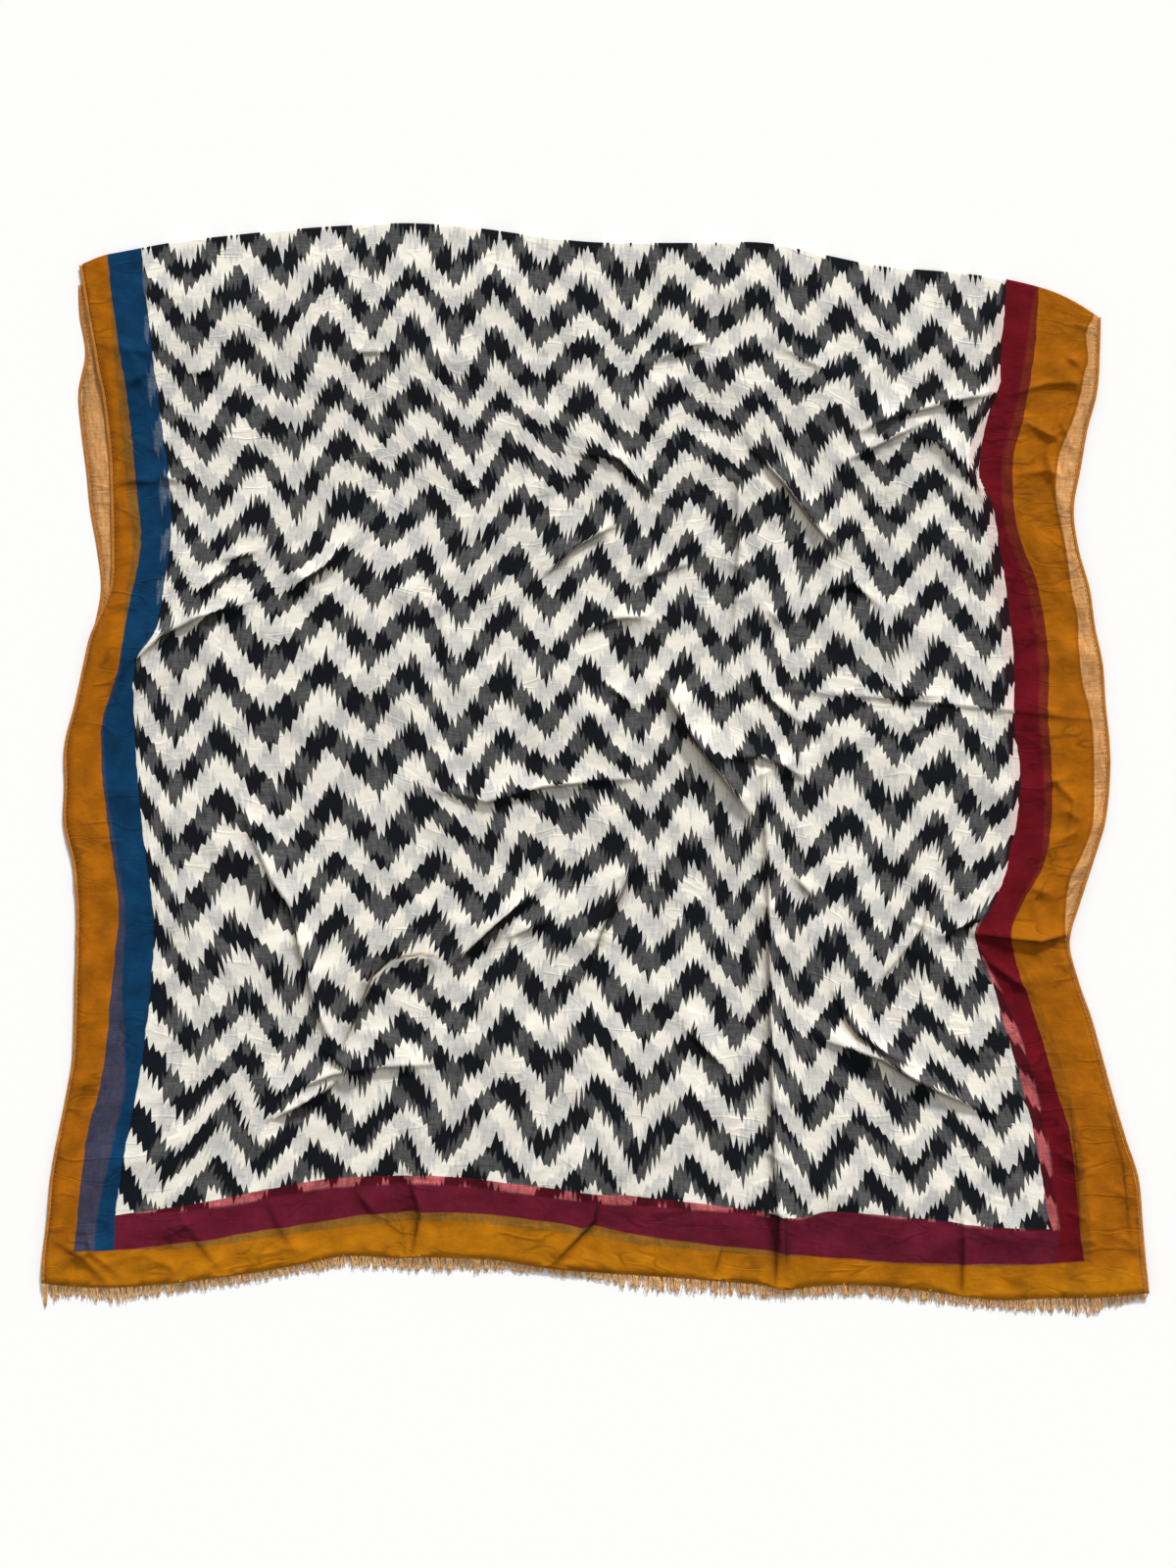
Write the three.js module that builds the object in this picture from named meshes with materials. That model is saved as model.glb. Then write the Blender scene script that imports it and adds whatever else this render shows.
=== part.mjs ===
import * as THREE from 'three';

// A long sheer scarf, printed all over, folded once across its length and laid flat with the fold
// at the far end. Millimetres, +Z up, floor at z = 0, origin under the middle of the laid-out cloth.
// "across" counts from the left end of the laid-out cloth's box and "down" from its folded end.
const SPREAD_WIDTH = 1129;
const SPREAD_DEPTH = 1114;

// Cloth wall, rolled side hems and the clear space between pieces.
const WALL = 1.2;
const HEM_WIDTH = 3.5;
const HEM_THICK = 1.8;
const SEAM = 0.4;
const CLEAR = 0.3;

// The upper layer lies on the lower layer's hems, and the fold joins the two in a half circle.
const UPPER_REST = HEM_THICK + CLEAR;
const FOLD_RADIUS = (UPPER_REST + WALL) / 2;
const FOLD_RETURN = 14;
const FOLD_TURN_STEPS = 4;

// Narrow strip along each cut end that the fringe grows from, and its strands.
const FRINGE_STRIP = 3;
const STRANDS_A_COLUMN = 2;
const STRAND_SWAY = 2.2;
const STRAND_SHORTEST = 0.55;

// Grid of the upper layer, and the rows of the lower layer's outline.
const COLUMNS = 52;
const ROWS = 38;
const OUTLINE_STEPS = 36;

// How high the cloth stands off the layer below where nothing presses it down.
const SWELL = 2.6;
const FOLD_EASE = 60;
const EDGE_EASE = 55;
const EDGE_SHARE = 0.35;

const FOLD_EDGE = {
  across: [38, 62, 77, 137, 197, 257, 317, 377, 437, 497, 557, 617, 677, 737, 797, 857,
    917, 977, 1017, 1037, 1057, 1080],
  down: [43, 33, 30, 19, 12, 6, 2, 0, 4, 12, 19, 20, 20, 20, 32, 44, 49, 56, 65, 72, 82, 97],
};

const UPPER_LEFT = {
  down: [43, 72, 102, 128, 153, 170, 192, 208, 242, 272, 332, 368, 390, 405, 425, 452, 492, 532,
    572, 612, 652, 692, 732, 772, 812, 852, 892, 932, 972, 1012, 1052, 1080],
  across: [38, 43, 48, 53, 57, 61, 64, 66, 69, 70, 71, 70, 63, 56, 48, 42, 33, 23,
    23, 22, 31, 35, 35, 34, 33, 31, 24, 16, 9, 6, 1, 0],
};

const UNDER_LEFT = {
  down: [43, 52, 92, 132, 172, 212, 252, 292, 332, 372, 412, 452, 492, 532, 572, 612, 652, 692,
    732, 772, 812, 852, 892, 932, 972, 1012, 1052, 1080],
  across: [38, 37, 38, 44, 37, 40, 45, 49, 56, 60, 53, 44, 35, 25, 25, 24, 33, 37,
    37, 36, 35, 33, 26, 18, 11, 8, 3, 2],
};

const UPPER_RIGHT = {
  down: [97, 132, 172, 212, 252, 292, 332, 372, 412, 452, 492, 532, 572, 612, 652, 692, 732, 772,
    812, 852, 892, 932, 972, 1012, 1052, 1091],
  across: [1080, 1079, 1076, 1066, 1059, 1052, 1057, 1068, 1074, 1082, 1085, 1089, 1089, 1084,
    1072, 1059, 1048, 1057, 1071, 1082, 1093, 1105, 1118, 1122, 1125, 1129],
};

const UNDER_RIGHT = {
  down: [95, 112, 139, 153, 178, 202, 220, 241, 277, 328, 376, 402, 434, 468, 491, 514, 567, 613,
    645, 666, 693, 732, 772, 812, 852, 892, 932, 972, 1012, 1052, 1091],
  across: [1073, 1065, 1067, 1063, 1058, 1051, 1043, 1036, 1033, 1043, 1050, 1056, 1057, 1061,
    1067, 1071, 1073, 1071, 1060, 1049, 1044, 1044, 1053, 1067, 1078, 1089, 1101, 1114, 1118,
    1121, 1125],
};

const WOVEN_END = {
  across: [0, 28, 73, 123, 173, 217, 267, 310, 361, 386, 420, 462, 497, 537, 597, 657, 707, 737,
    757, 787, 837, 897, 937, 977, 1027, 1084, 1129],
  down: [1080, 1084, 1085, 1082, 1076, 1070, 1061, 1053, 1055, 1054, 1055, 1057, 1063, 1068,
    1072, 1076, 1080, 1083, 1088, 1084, 1083, 1088, 1094, 1098, 1096, 1095, 1091],
};

const FRINGE_END = {
  across: [0, 17, 77, 137, 197, 257, 317, 377, 437, 497, 557, 617, 677, 737, 797, 857, 917, 977,
    1027, 1060, 1097, 1131],
  down: [1110, 1097, 1102, 1092, 1084, 1073, 1065, 1069, 1070, 1071, 1078, 1090, 1093, 1098,
    1095, 1098, 1103, 1108, 1113, 1115, 1104, 1098],
};

// Creases of the upper layer: points along each, how far it rises and how wide it spreads.
const CREASES = [
  { along: [[634, 476], [657, 517], [692, 562], [722, 602]], rise: 14, spread: 21 },
  { along: [[502, 684], [477, 707], [420, 742]], rise: 11, spread: 19 },
  { along: [[735, 569], [739, 672], [743, 851], [752, 1032]], rise: 9, spread: 21 },
  { along: [[810, 838], [865, 855], [962, 905]], rise: 11, spread: 19 },
  { along: [[810, 783], [853, 848], [916, 890]], rise: -4, spread: 14 },
  { along: [[207, 587], [257, 702], [267, 767], [302, 852]], rise: 7, spread: 20 },
  { along: [[227, 912], [257, 897], [302, 877], [397, 857]], rise: 8, spread: 19 },
  { along: [[332, 762], [352, 749], [387, 747], [412, 752]], rise: 7, spread: 19 },
  { along: [[727, 227], [787, 302]], rise: 9, spread: 20 },
  { along: [[257, 372], [272, 362], [292, 350], [313, 325]], rise: 9, spread: 19 },
  { along: [[837, 212], [857, 202], [882, 194], [942, 180]], rise: 7, spread: 19 },
  { along: [[892, 217], [917, 227], [957, 272]], rise: 7, spread: 19 },
  { along: [[547, 235], [577, 237], [597, 257], [619, 272]], rise: 6, spread: 19 },
  { along: [[697, 552], [757, 549], [777, 552]], rise: 5, spread: 19 },
  { along: [[525, 572], [577, 562], [597, 572]], rise: 6, spread: 19 },
  { along: [[949, 724], [1017, 732], [1057, 722]], rise: 9, spread: 21 },
  { along: [[747, 475], [857, 484], [1077, 507]], rise: 4, spread: 17 },
  { along: [[407, 372], [412, 462]], rise: 4, spread: 20 },
  { along: [[702, 312], [707, 412]], rise: 4, spread: 20 },
  { along: [[848, 779], [895, 720], [903, 674]], rise: 7, spread: 19 },
  { along: [[97, 444], [122, 422], [207, 389]], rise: 6, spread: 19 },
  { along: [[617, 144], [664, 125], [679, 122]], rise: 6, spread: 19 },
  { along: [[742, 1002], [747, 1080]], rise: 7, spread: 19 },
  { along: [[372, 972], [377, 1052]], rise: 6, spread: 19 },
  { along: [[138, 1007], [187, 1071]], rise: 5, spread: 19 },
];

const CLOTH_CREAM = '#ddd9cc';
const HEM_OCHRE = '#b9741c';
const FRINGE_PALE = '#dfae74';

function clamp(value, low, high) {
  return Math.min(Math.max(value, low), high);
}

function mix(a, b, t) {
  return a + (b - a) * t;
}

function ease(value) {
  const t = clamp(value, 0, 1);
  return t * t * (3 - 2 * t);
}

// Uneven number from 0 to 1 for the i-th strand, the same on every run.
function uneven(i, seed) {
  const wave = Math.sin(i * 12.9898 + seed * 78.233) * 43758.5453;
  return wave - Math.floor(wave);
}

// Smooth curve through the knots of a table.
function curve(knots, values) {
  const last = knots.length - 1;
  const slopes = values.map((value, i) => {
    const before = Math.max(i - 1, 0);
    const after = Math.min(i + 1, last);
    return (values[after] - values[before]) / (knots[after] - knots[before]);
  });
  return (at) => {
    let i = 0;
    while (i < last - 1 && at > knots[i + 1]) {
      i += 1;
    }
    const span = knots[i + 1] - knots[i];
    const t = clamp((at - knots[i]) / span, 0, 1);
    const t2 = t * t;
    const t3 = t2 * t;
    return (2 * t3 - 3 * t2 + 1) * values[i]
      + (t3 - 2 * t2 + t) * span * slopes[i]
      + (3 * t2 - 2 * t3) * values[i + 1]
      + (t3 - t2) * span * slopes[i + 1];
  };
}

// The same curve as straight stretches between even steps, so that facing edges run side by side.
function stretches(smooth, from, to, steps) {
  return (at) => {
    const share = clamp((at - from) / (to - from), 0, 1) * steps;
    const i = Math.min(Math.floor(share), steps - 1);
    const step = (to - from) / steps;
    return mix(smooth(from + i * step), smooth(from + (i + 1) * step), share - i);
  };
}

const INSET = HEM_WIDTH + SEAM;
const PANEL_END = FRINGE_STRIP + SEAM;
const FOLD_FROM = 38 + INSET;
const FOLD_TO = 1080 - INSET;
const END_FROM = INSET;
const END_TO = 1129 - INSET;

const foldEdge = stretches(curve(FOLD_EDGE.across, FOLD_EDGE.down), FOLD_FROM, FOLD_TO, COLUMNS);
const wovenEnd = stretches(curve(WOVEN_END.across, WOVEN_END.down), END_FROM, END_TO, COLUMNS);
const upperLeft = curve(UPPER_LEFT.down, UPPER_LEFT.across);
const upperRight = curve(UPPER_RIGHT.down, UPPER_RIGHT.across);
const underLeft = curve(UNDER_LEFT.down, UNDER_LEFT.across);
const underRight = curve(UNDER_RIGHT.down, UNDER_RIGHT.across);
const fringeEnd = curve(FRINGE_END.across, FRINGE_END.down);

function point(across, down, z) {
  return [across - SPREAD_WIDTH / 2, SPREAD_DEPTH / 2 - down, z];
}

// Rise of one crease at a place: a soft ridge or trough that fades out at both ends.
function creaseRise(crease, across, down) {
  const spots = crease.along;
  let nearest = Infinity;
  let share = 0;
  for (let i = 0; i < spots.length - 1; i += 1) {
    const [ax, ay] = spots[i];
    const dx = spots[i + 1][0] - ax;
    const dy = spots[i + 1][1] - ay;
    const t = clamp(((across - ax) * dx + (down - ay) * dy) / (dx * dx + dy * dy), 0, 1);
    const gap = Math.hypot(across - ax - dx * t, down - ay - dy * t);
    if (gap < nearest) {
      nearest = gap;
      share = (i + t) / (spots.length - 1);
    }
  }
  const fade = 0.35 + 0.65 * Math.sin(Math.PI * share);
  return crease.rise * fade * Math.exp(-((nearest / crease.spread) ** 2));
}

// Height of the upper layer's underside above its resting height.
function rumple(across, down) {
  const swell = SWELL * (1.1
    + 0.5 * Math.sin(across / 61 + down / 143)
    + 0.45 * Math.sin(down / 57 - across / 212 + 1.3)
    + 0.3 * Math.sin((across + down) / 39 + 0.6));
  const creased = CREASES.reduce((sum, crease) => sum + creaseRise(crease, across, down), 0);
  const free = swell + creased;
  const soft = 0.5 * (free + Math.sqrt(free * free + 1));
  const nearFold = ease((down - foldEdge(across) - FOLD_RADIUS) / FOLD_EASE);
  const fromSide = Math.min(across - upperLeft(down), upperRight(down) - across);
  const fromEnd = wovenEnd(across) - down;
  const nearEdge = mix(EDGE_SHARE, 1, ease(Math.min(fromSide, fromEnd) / EDGE_EASE));
  return soft * nearFold * nearEdge;
}

// Wall height along z that keeps the wall's own thickness on a slope.
function wallHeight(across, down) {
  const step = 4;
  const sx = (rumple(across + step, down) - rumple(across - step, down)) / (2 * step);
  const sy = (rumple(across, down + step) - rumple(across, down - step)) / (2 * step);
  return WALL * Math.sqrt(1 + sx * sx + sy * sy);
}

// Closed mesh from corners and triangles, faces turned outward.
function solid(name, colour, corners, triangles) {
  let volume = 0;
  for (const [a, b, c] of triangles) {
    const [p, q, r] = [corners[a], corners[b], corners[c]];
    volume += p[0] * (q[1] * r[2] - q[2] * r[1])
      + p[1] * (q[2] * r[0] - q[0] * r[2])
      + p[2] * (q[0] * r[1] - q[1] * r[0]);
  }
  const turned = volume < 0 ? triangles.map(([a, b, c]) => [a, c, b]) : triangles;
  const geometry = new THREE.BufferGeometry();
  geometry.setAttribute('position', new THREE.Float32BufferAttribute(corners.flat(), 3));
  geometry.setIndex(turned.flat());
  geometry.computeVertexNormals();
  const material = new THREE.MeshStandardMaterial({ color: colour, roughness: 0.9, metalness: 0 });
  const mesh = new THREE.Mesh(geometry, material);
  mesh.name = name;
  return mesh;
}

// Wall between an outer and an inner grid of points, closed along its four sides.
function sheetSolid(name, colour, outer, inner) {
  const rows = outer.length;
  const columns = outer[0].length;
  const corners = [...outer.flat(), ...inner.flat()];
  const half = rows * columns;
  const top = (r, c) => r * columns + c;
  const low = (r, c) => half + r * columns + c;
  const triangles = [];
  for (let r = 0; r < rows - 1; r += 1) {
    for (let c = 0; c < columns - 1; c += 1) {
      triangles.push([top(r, c), top(r + 1, c), top(r + 1, c + 1)]);
      triangles.push([top(r, c), top(r + 1, c + 1), top(r, c + 1)]);
      triangles.push([low(r, c), low(r + 1, c + 1), low(r + 1, c)]);
      triangles.push([low(r, c), low(r, c + 1), low(r + 1, c + 1)]);
    }
  }
  const side = (a, b, c, d) => triangles.push([a, b, c], [a, c, d]);
  for (let r = 0; r < rows - 1; r += 1) {
    side(top(r + 1, 0), top(r, 0), low(r, 0), low(r + 1, 0));
    side(top(r, columns - 1), top(r + 1, columns - 1), low(r + 1, columns - 1),
      low(r, columns - 1));
  }
  for (let c = 0; c < columns - 1; c += 1) {
    side(top(0, c), top(0, c + 1), low(0, c + 1), low(0, c));
    side(top(rows - 1, c + 1), top(rows - 1, c), low(rows - 1, c), low(rows - 1, c + 1));
  }
  return solid(name, colour, corners, triangles);
}

// Place in the upper layer from its share across and its share down, fitted between its edges.
function leftSide(v) {
  const down = mix(foldEdge(FOLD_FROM), wovenEnd(END_FROM) - PANEL_END, v);
  return [upperLeft(down) + INSET, down];
}

function rightSide(v) {
  const down = mix(foldEdge(FOLD_TO), wovenEnd(END_TO) - PANEL_END, v);
  return [upperRight(down) - INSET, down];
}

function foldSide(u) {
  const across = mix(FOLD_FROM, FOLD_TO, u);
  return [across, foldEdge(across)];
}

function endSide(u) {
  const across = mix(END_FROM, END_TO, u);
  return [across, wovenEnd(across) - PANEL_END];
}

function panelPlace(u, v) {
  return [0, 1].map((axis) => {
    const sides = mix(leftSide(v)[axis], rightSide(v)[axis], u);
    const ends = mix(foldSide(u)[axis], endSide(u)[axis], v);
    const blend = mix(mix(leftSide(0)[axis], rightSide(0)[axis], u),
      mix(leftSide(1)[axis], rightSide(1)[axis], u), v);
    return sides + ends - blend;
  });
}

// Place a distance in from the fold, straight down the cloth.
function fromFold(across, distance) {
  return [across, foldEdge(across) + distance];
}

const SHARES_ACROSS = Array.from({ length: COLUMNS + 1 }, (_, i) => i / COLUMNS);
const FIRST_SHARE = 0.009;
const SHARES_DOWN = Array.from({ length: ROWS }, (_, i) => mix(FIRST_SHARE, 1, i / (ROWS - 1)));

function foldRow(distance, outerZ, innerZ) {
  const spots = SHARES_ACROSS.map((u) => fromFold(foldSide(u)[0], distance));
  return [spots.map(([a, d]) => point(a, d, outerZ)), spots.map(([a, d]) => point(a, d, innerZ))];
}

// Upper layer: short return under the fold, the half circle of the fold, then the rumpled cloth.
function upperLayer() {
  const outer = [];
  const inner = [];
  const add = ([outerRow, innerRow]) => {
    outer.push(outerRow);
    inner.push(innerRow);
  };
  add(foldRow(FOLD_RADIUS + FOLD_RETURN, 0, WALL));
  add(foldRow(FOLD_RADIUS, 0, WALL));
  for (let i = 1; i < FOLD_TURN_STEPS; i += 1) {
    const turn = Math.PI * (i / FOLD_TURN_STEPS - 0.5);
    const ring = (radius) => SHARES_ACROSS.map((u) => {
      const [a, d] = fromFold(foldSide(u)[0], FOLD_RADIUS - radius * Math.cos(turn));
      return point(a, d, FOLD_RADIUS + radius * Math.sin(turn));
    });
    add([ring(FOLD_RADIUS), ring(FOLD_RADIUS - WALL)]);
  }
  add(foldRow(FOLD_RADIUS, UPPER_REST + WALL, UPPER_REST));
  for (const v of SHARES_DOWN) {
    const spots = SHARES_ACROSS.map((u) => panelPlace(u, v));
    inner.push(spots.map(([a, d]) => point(a, d, UPPER_REST + rumple(a, d))));
    outer.push(spots.map(([a, d]) => point(a, d, UPPER_REST + rumple(a, d) + wallHeight(a, d))));
  }
  return sheetSolid('upper_layer', CLOTH_CREAM, outer, inner);
}

// Lower layer: a flat wall on the floor, its outline from its own side edges.
function underLayer() {
  const top = FOLD_RADIUS + FOLD_RETURN + SEAM;
  const shares = Array.from({ length: OUTLINE_STEPS + 1 }, (_, i) => i / OUTLINE_STEPS);
  const startLeft = foldEdge(FOLD_FROM) + top;
  const startRight = foldEdge(FOLD_TO - 8) + top;
  const left = shares.map((t) => {
    const down = mix(startLeft, wovenEnd(INSET) - PANEL_END, t);
    return [underLeft(down) + INSET, down];
  });
  const right = shares.map((t) => {
    const down = mix(startRight, wovenEnd(1125 - INSET) - PANEL_END, t);
    return [underRight(down) - INSET, down];
  });
  const between = (spots, i) => spots.filter(([a]) => a > left[i][0] + 0.5 && a < right[i][0] - 0.5);
  const fold = between(SHARES_ACROSS.map((u) => fromFold(foldSide(u)[0], top)), 0);
  const end = between(SHARES_ACROSS.map(endSide), OUTLINE_STEPS);
  const outline = [...left, ...end, ...right.slice().reverse(), ...fold.slice().reverse()];
  const flat = outline.map(([a, d]) => new THREE.Vector2(a, -d));
  const faces = THREE.ShapeUtils.triangulateShape(flat, []);
  const count = outline.length;
  const corners = [...outline.map(([a, d]) => point(a, d, 0)),
    ...outline.map(([a, d]) => point(a, d, WALL))];
  const triangles = [];
  for (const [a, b, c] of faces) {
    triangles.push([a, c, b], [count + a, count + b, count + c]);
  }
  for (let i = 0; i < count; i += 1) {
    const next = (i + 1) % count;
    triangles.push([i, next, count + next], [i, count + next, count + i]);
  }
  return { left, right, mesh: solid('under_layer', CLOTH_CREAM, corners, triangles) };
}

// Rolled hem: a five-sided roll along a run of places, its inner side a seam away from the panel.
function hem(name, run, outward, baseHeight) {
  const section = [[0.08, 0], [0.92, 0], [1, 0.55], [0.5, 1], [0, 0.55]];
  const size = section.length;
  const corners = run.flatMap(([across, down]) => section.map(([w, t]) => {
    const a = across + outward * (SEAM + w * HEM_WIDTH);
    return point(a, down, baseHeight(across, down) + t * HEM_THICK);
  }));
  const triangles = [];
  for (let r = 0; r < run.length - 1; r += 1) {
    for (let s = 0; s < size; s += 1) {
      const [a, b] = [r * size + s, r * size + ((s + 1) % size)];
      triangles.push([a, b, b + size], [a, b + size, a + size]);
    }
  }
  const end = (run.length - 1) * size;
  for (let s = 1; s < size - 1; s += 1) {
    triangles.push([0, s + 1, s], [end, end + s, end + s + 1]);
  }
  return solid(name, HEM_OCHRE, corners, triangles);
}

// Fringe: a strip along the woven end with a row of four-sided strands that taper to a point.
function fringe(name, rootsAcross, seed, baseHeight, tipHeight) {
  const roots = rootsAcross.map((across) => [across, wovenEnd(across)]);
  const count = roots.length - 1;
  const corners = [];
  for (const [a, d] of roots) {
    const z = baseHeight(a, d);
    corners.push(point(a, d - FRINGE_STRIP, z), point(a, d - FRINGE_STRIP, z + WALL));
    corners.push(point(a, d, z), point(a, d, z + WALL));
  }
  const triangles = [[0, 3, 1], [0, 2, 3]];
  for (let i = 0; i < count; i += 1) {
    const [backLow, backTop, rootLow, rootTop] = [4 * i, 4 * i + 1, 4 * i + 2, 4 * i + 3];
    const [nextBackLow, nextBackTop] = [backLow + 4, backTop + 4];
    const [nextRootLow, nextRootTop] = [rootLow + 4, rootTop + 4];
    const middle = (roots[i][0] + roots[i + 1][0]) / 2;
    const reach = fringeEnd(middle) - wovenEnd(middle);
    const length = i === 0 ? reach : reach * mix(STRAND_SHORTEST, 1, uneven(i, seed + 2));
    const sway = i === 0 ? 0 : (uneven(i, seed + 4) - 0.5) * 2 * STRAND_SWAY;
    const tip = corners.length;
    corners.push(point(middle + sway, wovenEnd(middle) + length, tipHeight));
    triangles.push([backTop, rootTop, nextRootTop], [backTop, nextRootTop, nextBackTop]);
    triangles.push([backLow, nextRootLow, rootLow], [backLow, nextBackLow, nextRootLow]);
    triangles.push([backLow, backTop, nextBackTop], [backLow, nextBackTop, nextBackLow]);
    triangles.push([rootTop, tip, nextRootTop], [rootLow, nextRootLow, tip]);
    triangles.push([rootTop, rootLow, tip], [nextRootLow, nextRootTop, tip]);
  }
  const last = 4 * count;
  triangles.push([last, last + 1, last + 3], [last, last + 3, last + 2]);
  return solid(name, FRINGE_PALE, corners, triangles);
}

// Roots of the strands: every column of the cloth, and uneven places between two columns.
function strandRoots(seed) {
  const steps = COLUMNS * STRANDS_A_COLUMN;
  return Array.from({ length: steps + 1 }, (_, i) => {
    const shift = i % STRANDS_A_COLUMN === 0 ? 0 : (uneven(i, seed) - 0.5) * 0.5;
    return mix(END_FROM, END_TO, (i + shift) / steps);
  });
}

const onFloor = () => 0;
const onUnder = (across, down) => UPPER_REST + rumple(across, down);
const upperRows = [0, ...SHARES_DOWN];
const hemStart = ([across, down], v) => [across, v === 0 ? down + FOLD_RADIUS : down];

const part = new THREE.Group();
part.name = 'hijab';
const under = underLayer();
part.add(upperLayer());
part.add(under.mesh);
part.add(hem('upper_hem_left', upperRows.map((v) => hemStart(leftSide(v), v)), -1, onUnder));
part.add(hem('upper_hem_right', upperRows.map((v) => hemStart(rightSide(v), v)), 1, onUnder));
part.add(hem('under_hem_left', under.left, -1, onFloor));
part.add(hem('under_hem_right', under.right, 1, onFloor));
part.add(fringe('upper_fringe', [0, ...strandRoots(1), 1129], 1, onUnder, UPPER_REST - CLEAR));
part.add(fringe('under_fringe', strandRoots(7), 7, onFloor, WALL / 2));

export default part;
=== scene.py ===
import math

import bmesh
import bpy
import numpy as np
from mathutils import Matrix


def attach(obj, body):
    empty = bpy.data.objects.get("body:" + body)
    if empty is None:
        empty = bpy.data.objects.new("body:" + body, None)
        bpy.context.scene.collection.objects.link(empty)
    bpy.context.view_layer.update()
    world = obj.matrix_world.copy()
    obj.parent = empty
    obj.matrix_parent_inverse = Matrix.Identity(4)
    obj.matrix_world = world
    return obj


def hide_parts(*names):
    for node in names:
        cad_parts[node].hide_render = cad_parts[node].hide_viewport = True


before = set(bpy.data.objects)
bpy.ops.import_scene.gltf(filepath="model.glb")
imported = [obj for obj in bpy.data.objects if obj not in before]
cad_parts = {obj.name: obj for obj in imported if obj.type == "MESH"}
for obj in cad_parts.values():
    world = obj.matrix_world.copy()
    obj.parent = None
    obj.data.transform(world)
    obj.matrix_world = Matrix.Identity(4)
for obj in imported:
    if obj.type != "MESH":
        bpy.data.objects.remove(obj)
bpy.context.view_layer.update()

# A long sheer printed scarf, folded once across its length and laid flat, the fold at the far end.
# Lengths are millimetres: "across" counts from the left end of the laid-out cloth's box and "down"
# from its folded end. Meshes are made in metres. The outlines repeat the part's own.
MM = 0.001
FAR = 1e9
SPREAD_WIDTH = 1129.0
SPREAD_DEPTH = 1114.0

# The part's cloth wall and the thinner one shown, the rolled hems, and the space between layers.
WALL = 1.2
WALL_SHOWN = 0.8
HEM_WIDTH = 3.5
HEM_THICK = 1.8
SEAM = 0.06
CLEAR = 0.3
UPPER_REST = HEM_THICK + CLEAR
FOLD_RADIUS = (UPPER_REST + WALL) / 2
INSET = HEM_WIDTH + SEAM
PANEL_END = 0.1

# A hem's section, as shares of its width and of the height shown, and the steps along it.
HEM_SECTION = [(0.06, 0.0), (0.9, 0.0), (1.0, 0.32), (0.97, 0.62), (0.8, 0.88), (0.55, 1.0),
               (0.3, 0.9), (0.1, 0.66), (0.0, 0.3)]
HEM_SHOWN = 0.75 * HEM_THICK
HEM_STEPS = 260
HEM_START = 0.0016
# How far past the fold the lower layer's hems begin.
UNDER_HEM_AFTER = 16.0

# Running stitches, and how far from the ends of a hem they stop.
STITCH = 2.6
STITCH_SPACE = 2.2
STITCH_RADIUS = 0.28
STITCH_LIFT = 0.35
STITCH_END_LIFT = 0.02
STITCH_INSIDE = 1.1
STITCH_STOP = 8.0

# Clumps of the fringe: reach is a share of the room outside the cloth, step one of the width.
CLUMP_WIDE = (3.5, 7.5)
CLUMP_REACH = (0.72, 1.1)
CLUMP_SPREAD = (0.25, 0.8)
CLUMP_THREADS = (6, 9)
CLUMP_LEAN = 1.8
CLUMP_STEP = (0.9, 1.35)
# A clump's threads. Length is a share of the reach, and taper what is gone of the radius at the tip.
TIP_STRAY = 0.7
THREAD_LENGTH = (0.8, 1.0)
THREAD_BEND = 1.3
THREAD_RADIUS = (0.38, 0.6)
THREAD_TAPER = 0.45
THREAD_WAVE = 0.25
THREAD_WAVES = 5
THREAD_FALL = 1.3
THREAD_CLEAR = 0.05
THREAD_TURN = 0.5
THREAD_STEPS = 5
FRINGE_ROOT = 2.0
FRINGE_ROOT_HEIGHT = 0.55 * WALL
FRINGE_PAST = 2.0
UNDER_FRINGE_BASE = -0.25

# Grid of the cloth, and how near a crease it is made finer, in two rounds.
COLUMNS = 136
ROWS_UPPER = 132
ROWS_FOLD = 6
ROWS_UNDER = 34
FINER_WITHIN = (11.0, 5.0)

# How high the cloth stands off the layer below, and how far in from the fold and the edges it is held
# down. A wave has its share, the millimetres across and down that make a radian, and its phase.
SWELL = 2.6
SWELL_MIDDLE = 1.1
SWELL_WAVES = [(0.5, 61.0, 143.0, 0.0), (0.45, -212.0, 57.0, 1.3), (0.3, 39.0, 39.0, 0.6)]
FOLD_EASE = 60.0
EDGE_EASE = 40.0
EDGE_SHARE = 0.45

# Corners of the outlines, and where the cloth inside the hems begins and ends.
FOLD_LEFT = 38.0
FOLD_RIGHT = 1080.0
UNDER_END_RIGHT = 1125.0
FOLD_FROM = FOLD_LEFT + INSET
FOLD_TO = FOLD_RIGHT - INSET
END_FROM = INSET
END_TO = SPREAD_WIDTH - INSET
UNDER_END_TO = UNDER_END_RIGHT - INSET
# How far past the fold the lower layer takes up its own right outline.
UNDER_RIGHT_EASE = 40.0


def mix(a, b, t):
    return a + (b - a) * t


def ease(value):
    t = np.clip(value, 0, 1)
    return t * t * (3 - 2 * t)


def curve(**table):
    """Smooth curve through a table, which has its knots first and then the values there."""
    knots, values = (np.asarray(row, float) for row in table.values())
    last = len(knots) - 1
    before = np.maximum(np.arange(last + 1) - 1, 0)
    after = np.minimum(np.arange(last + 1) + 1, last)
    slopes = (values[after] - values[before]) / (knots[after] - knots[before])

    def at(x):
        x = np.asarray(x, float)
        i = np.clip(np.searchsorted(knots, x, side="left") - 1, 0, last - 1)
        span = knots[i + 1] - knots[i]
        t = np.clip((x - knots[i]) / span, 0, 1)
        t2, t3 = t * t, t * t * t
        return ((2 * t3 - 3 * t2 + 1) * values[i] + (t3 - 2 * t2 + t) * span * slopes[i]
                + (3 * t2 - 2 * t3) * values[i + 1] + (t3 - t2) * span * slopes[i + 1])

    return at


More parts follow.
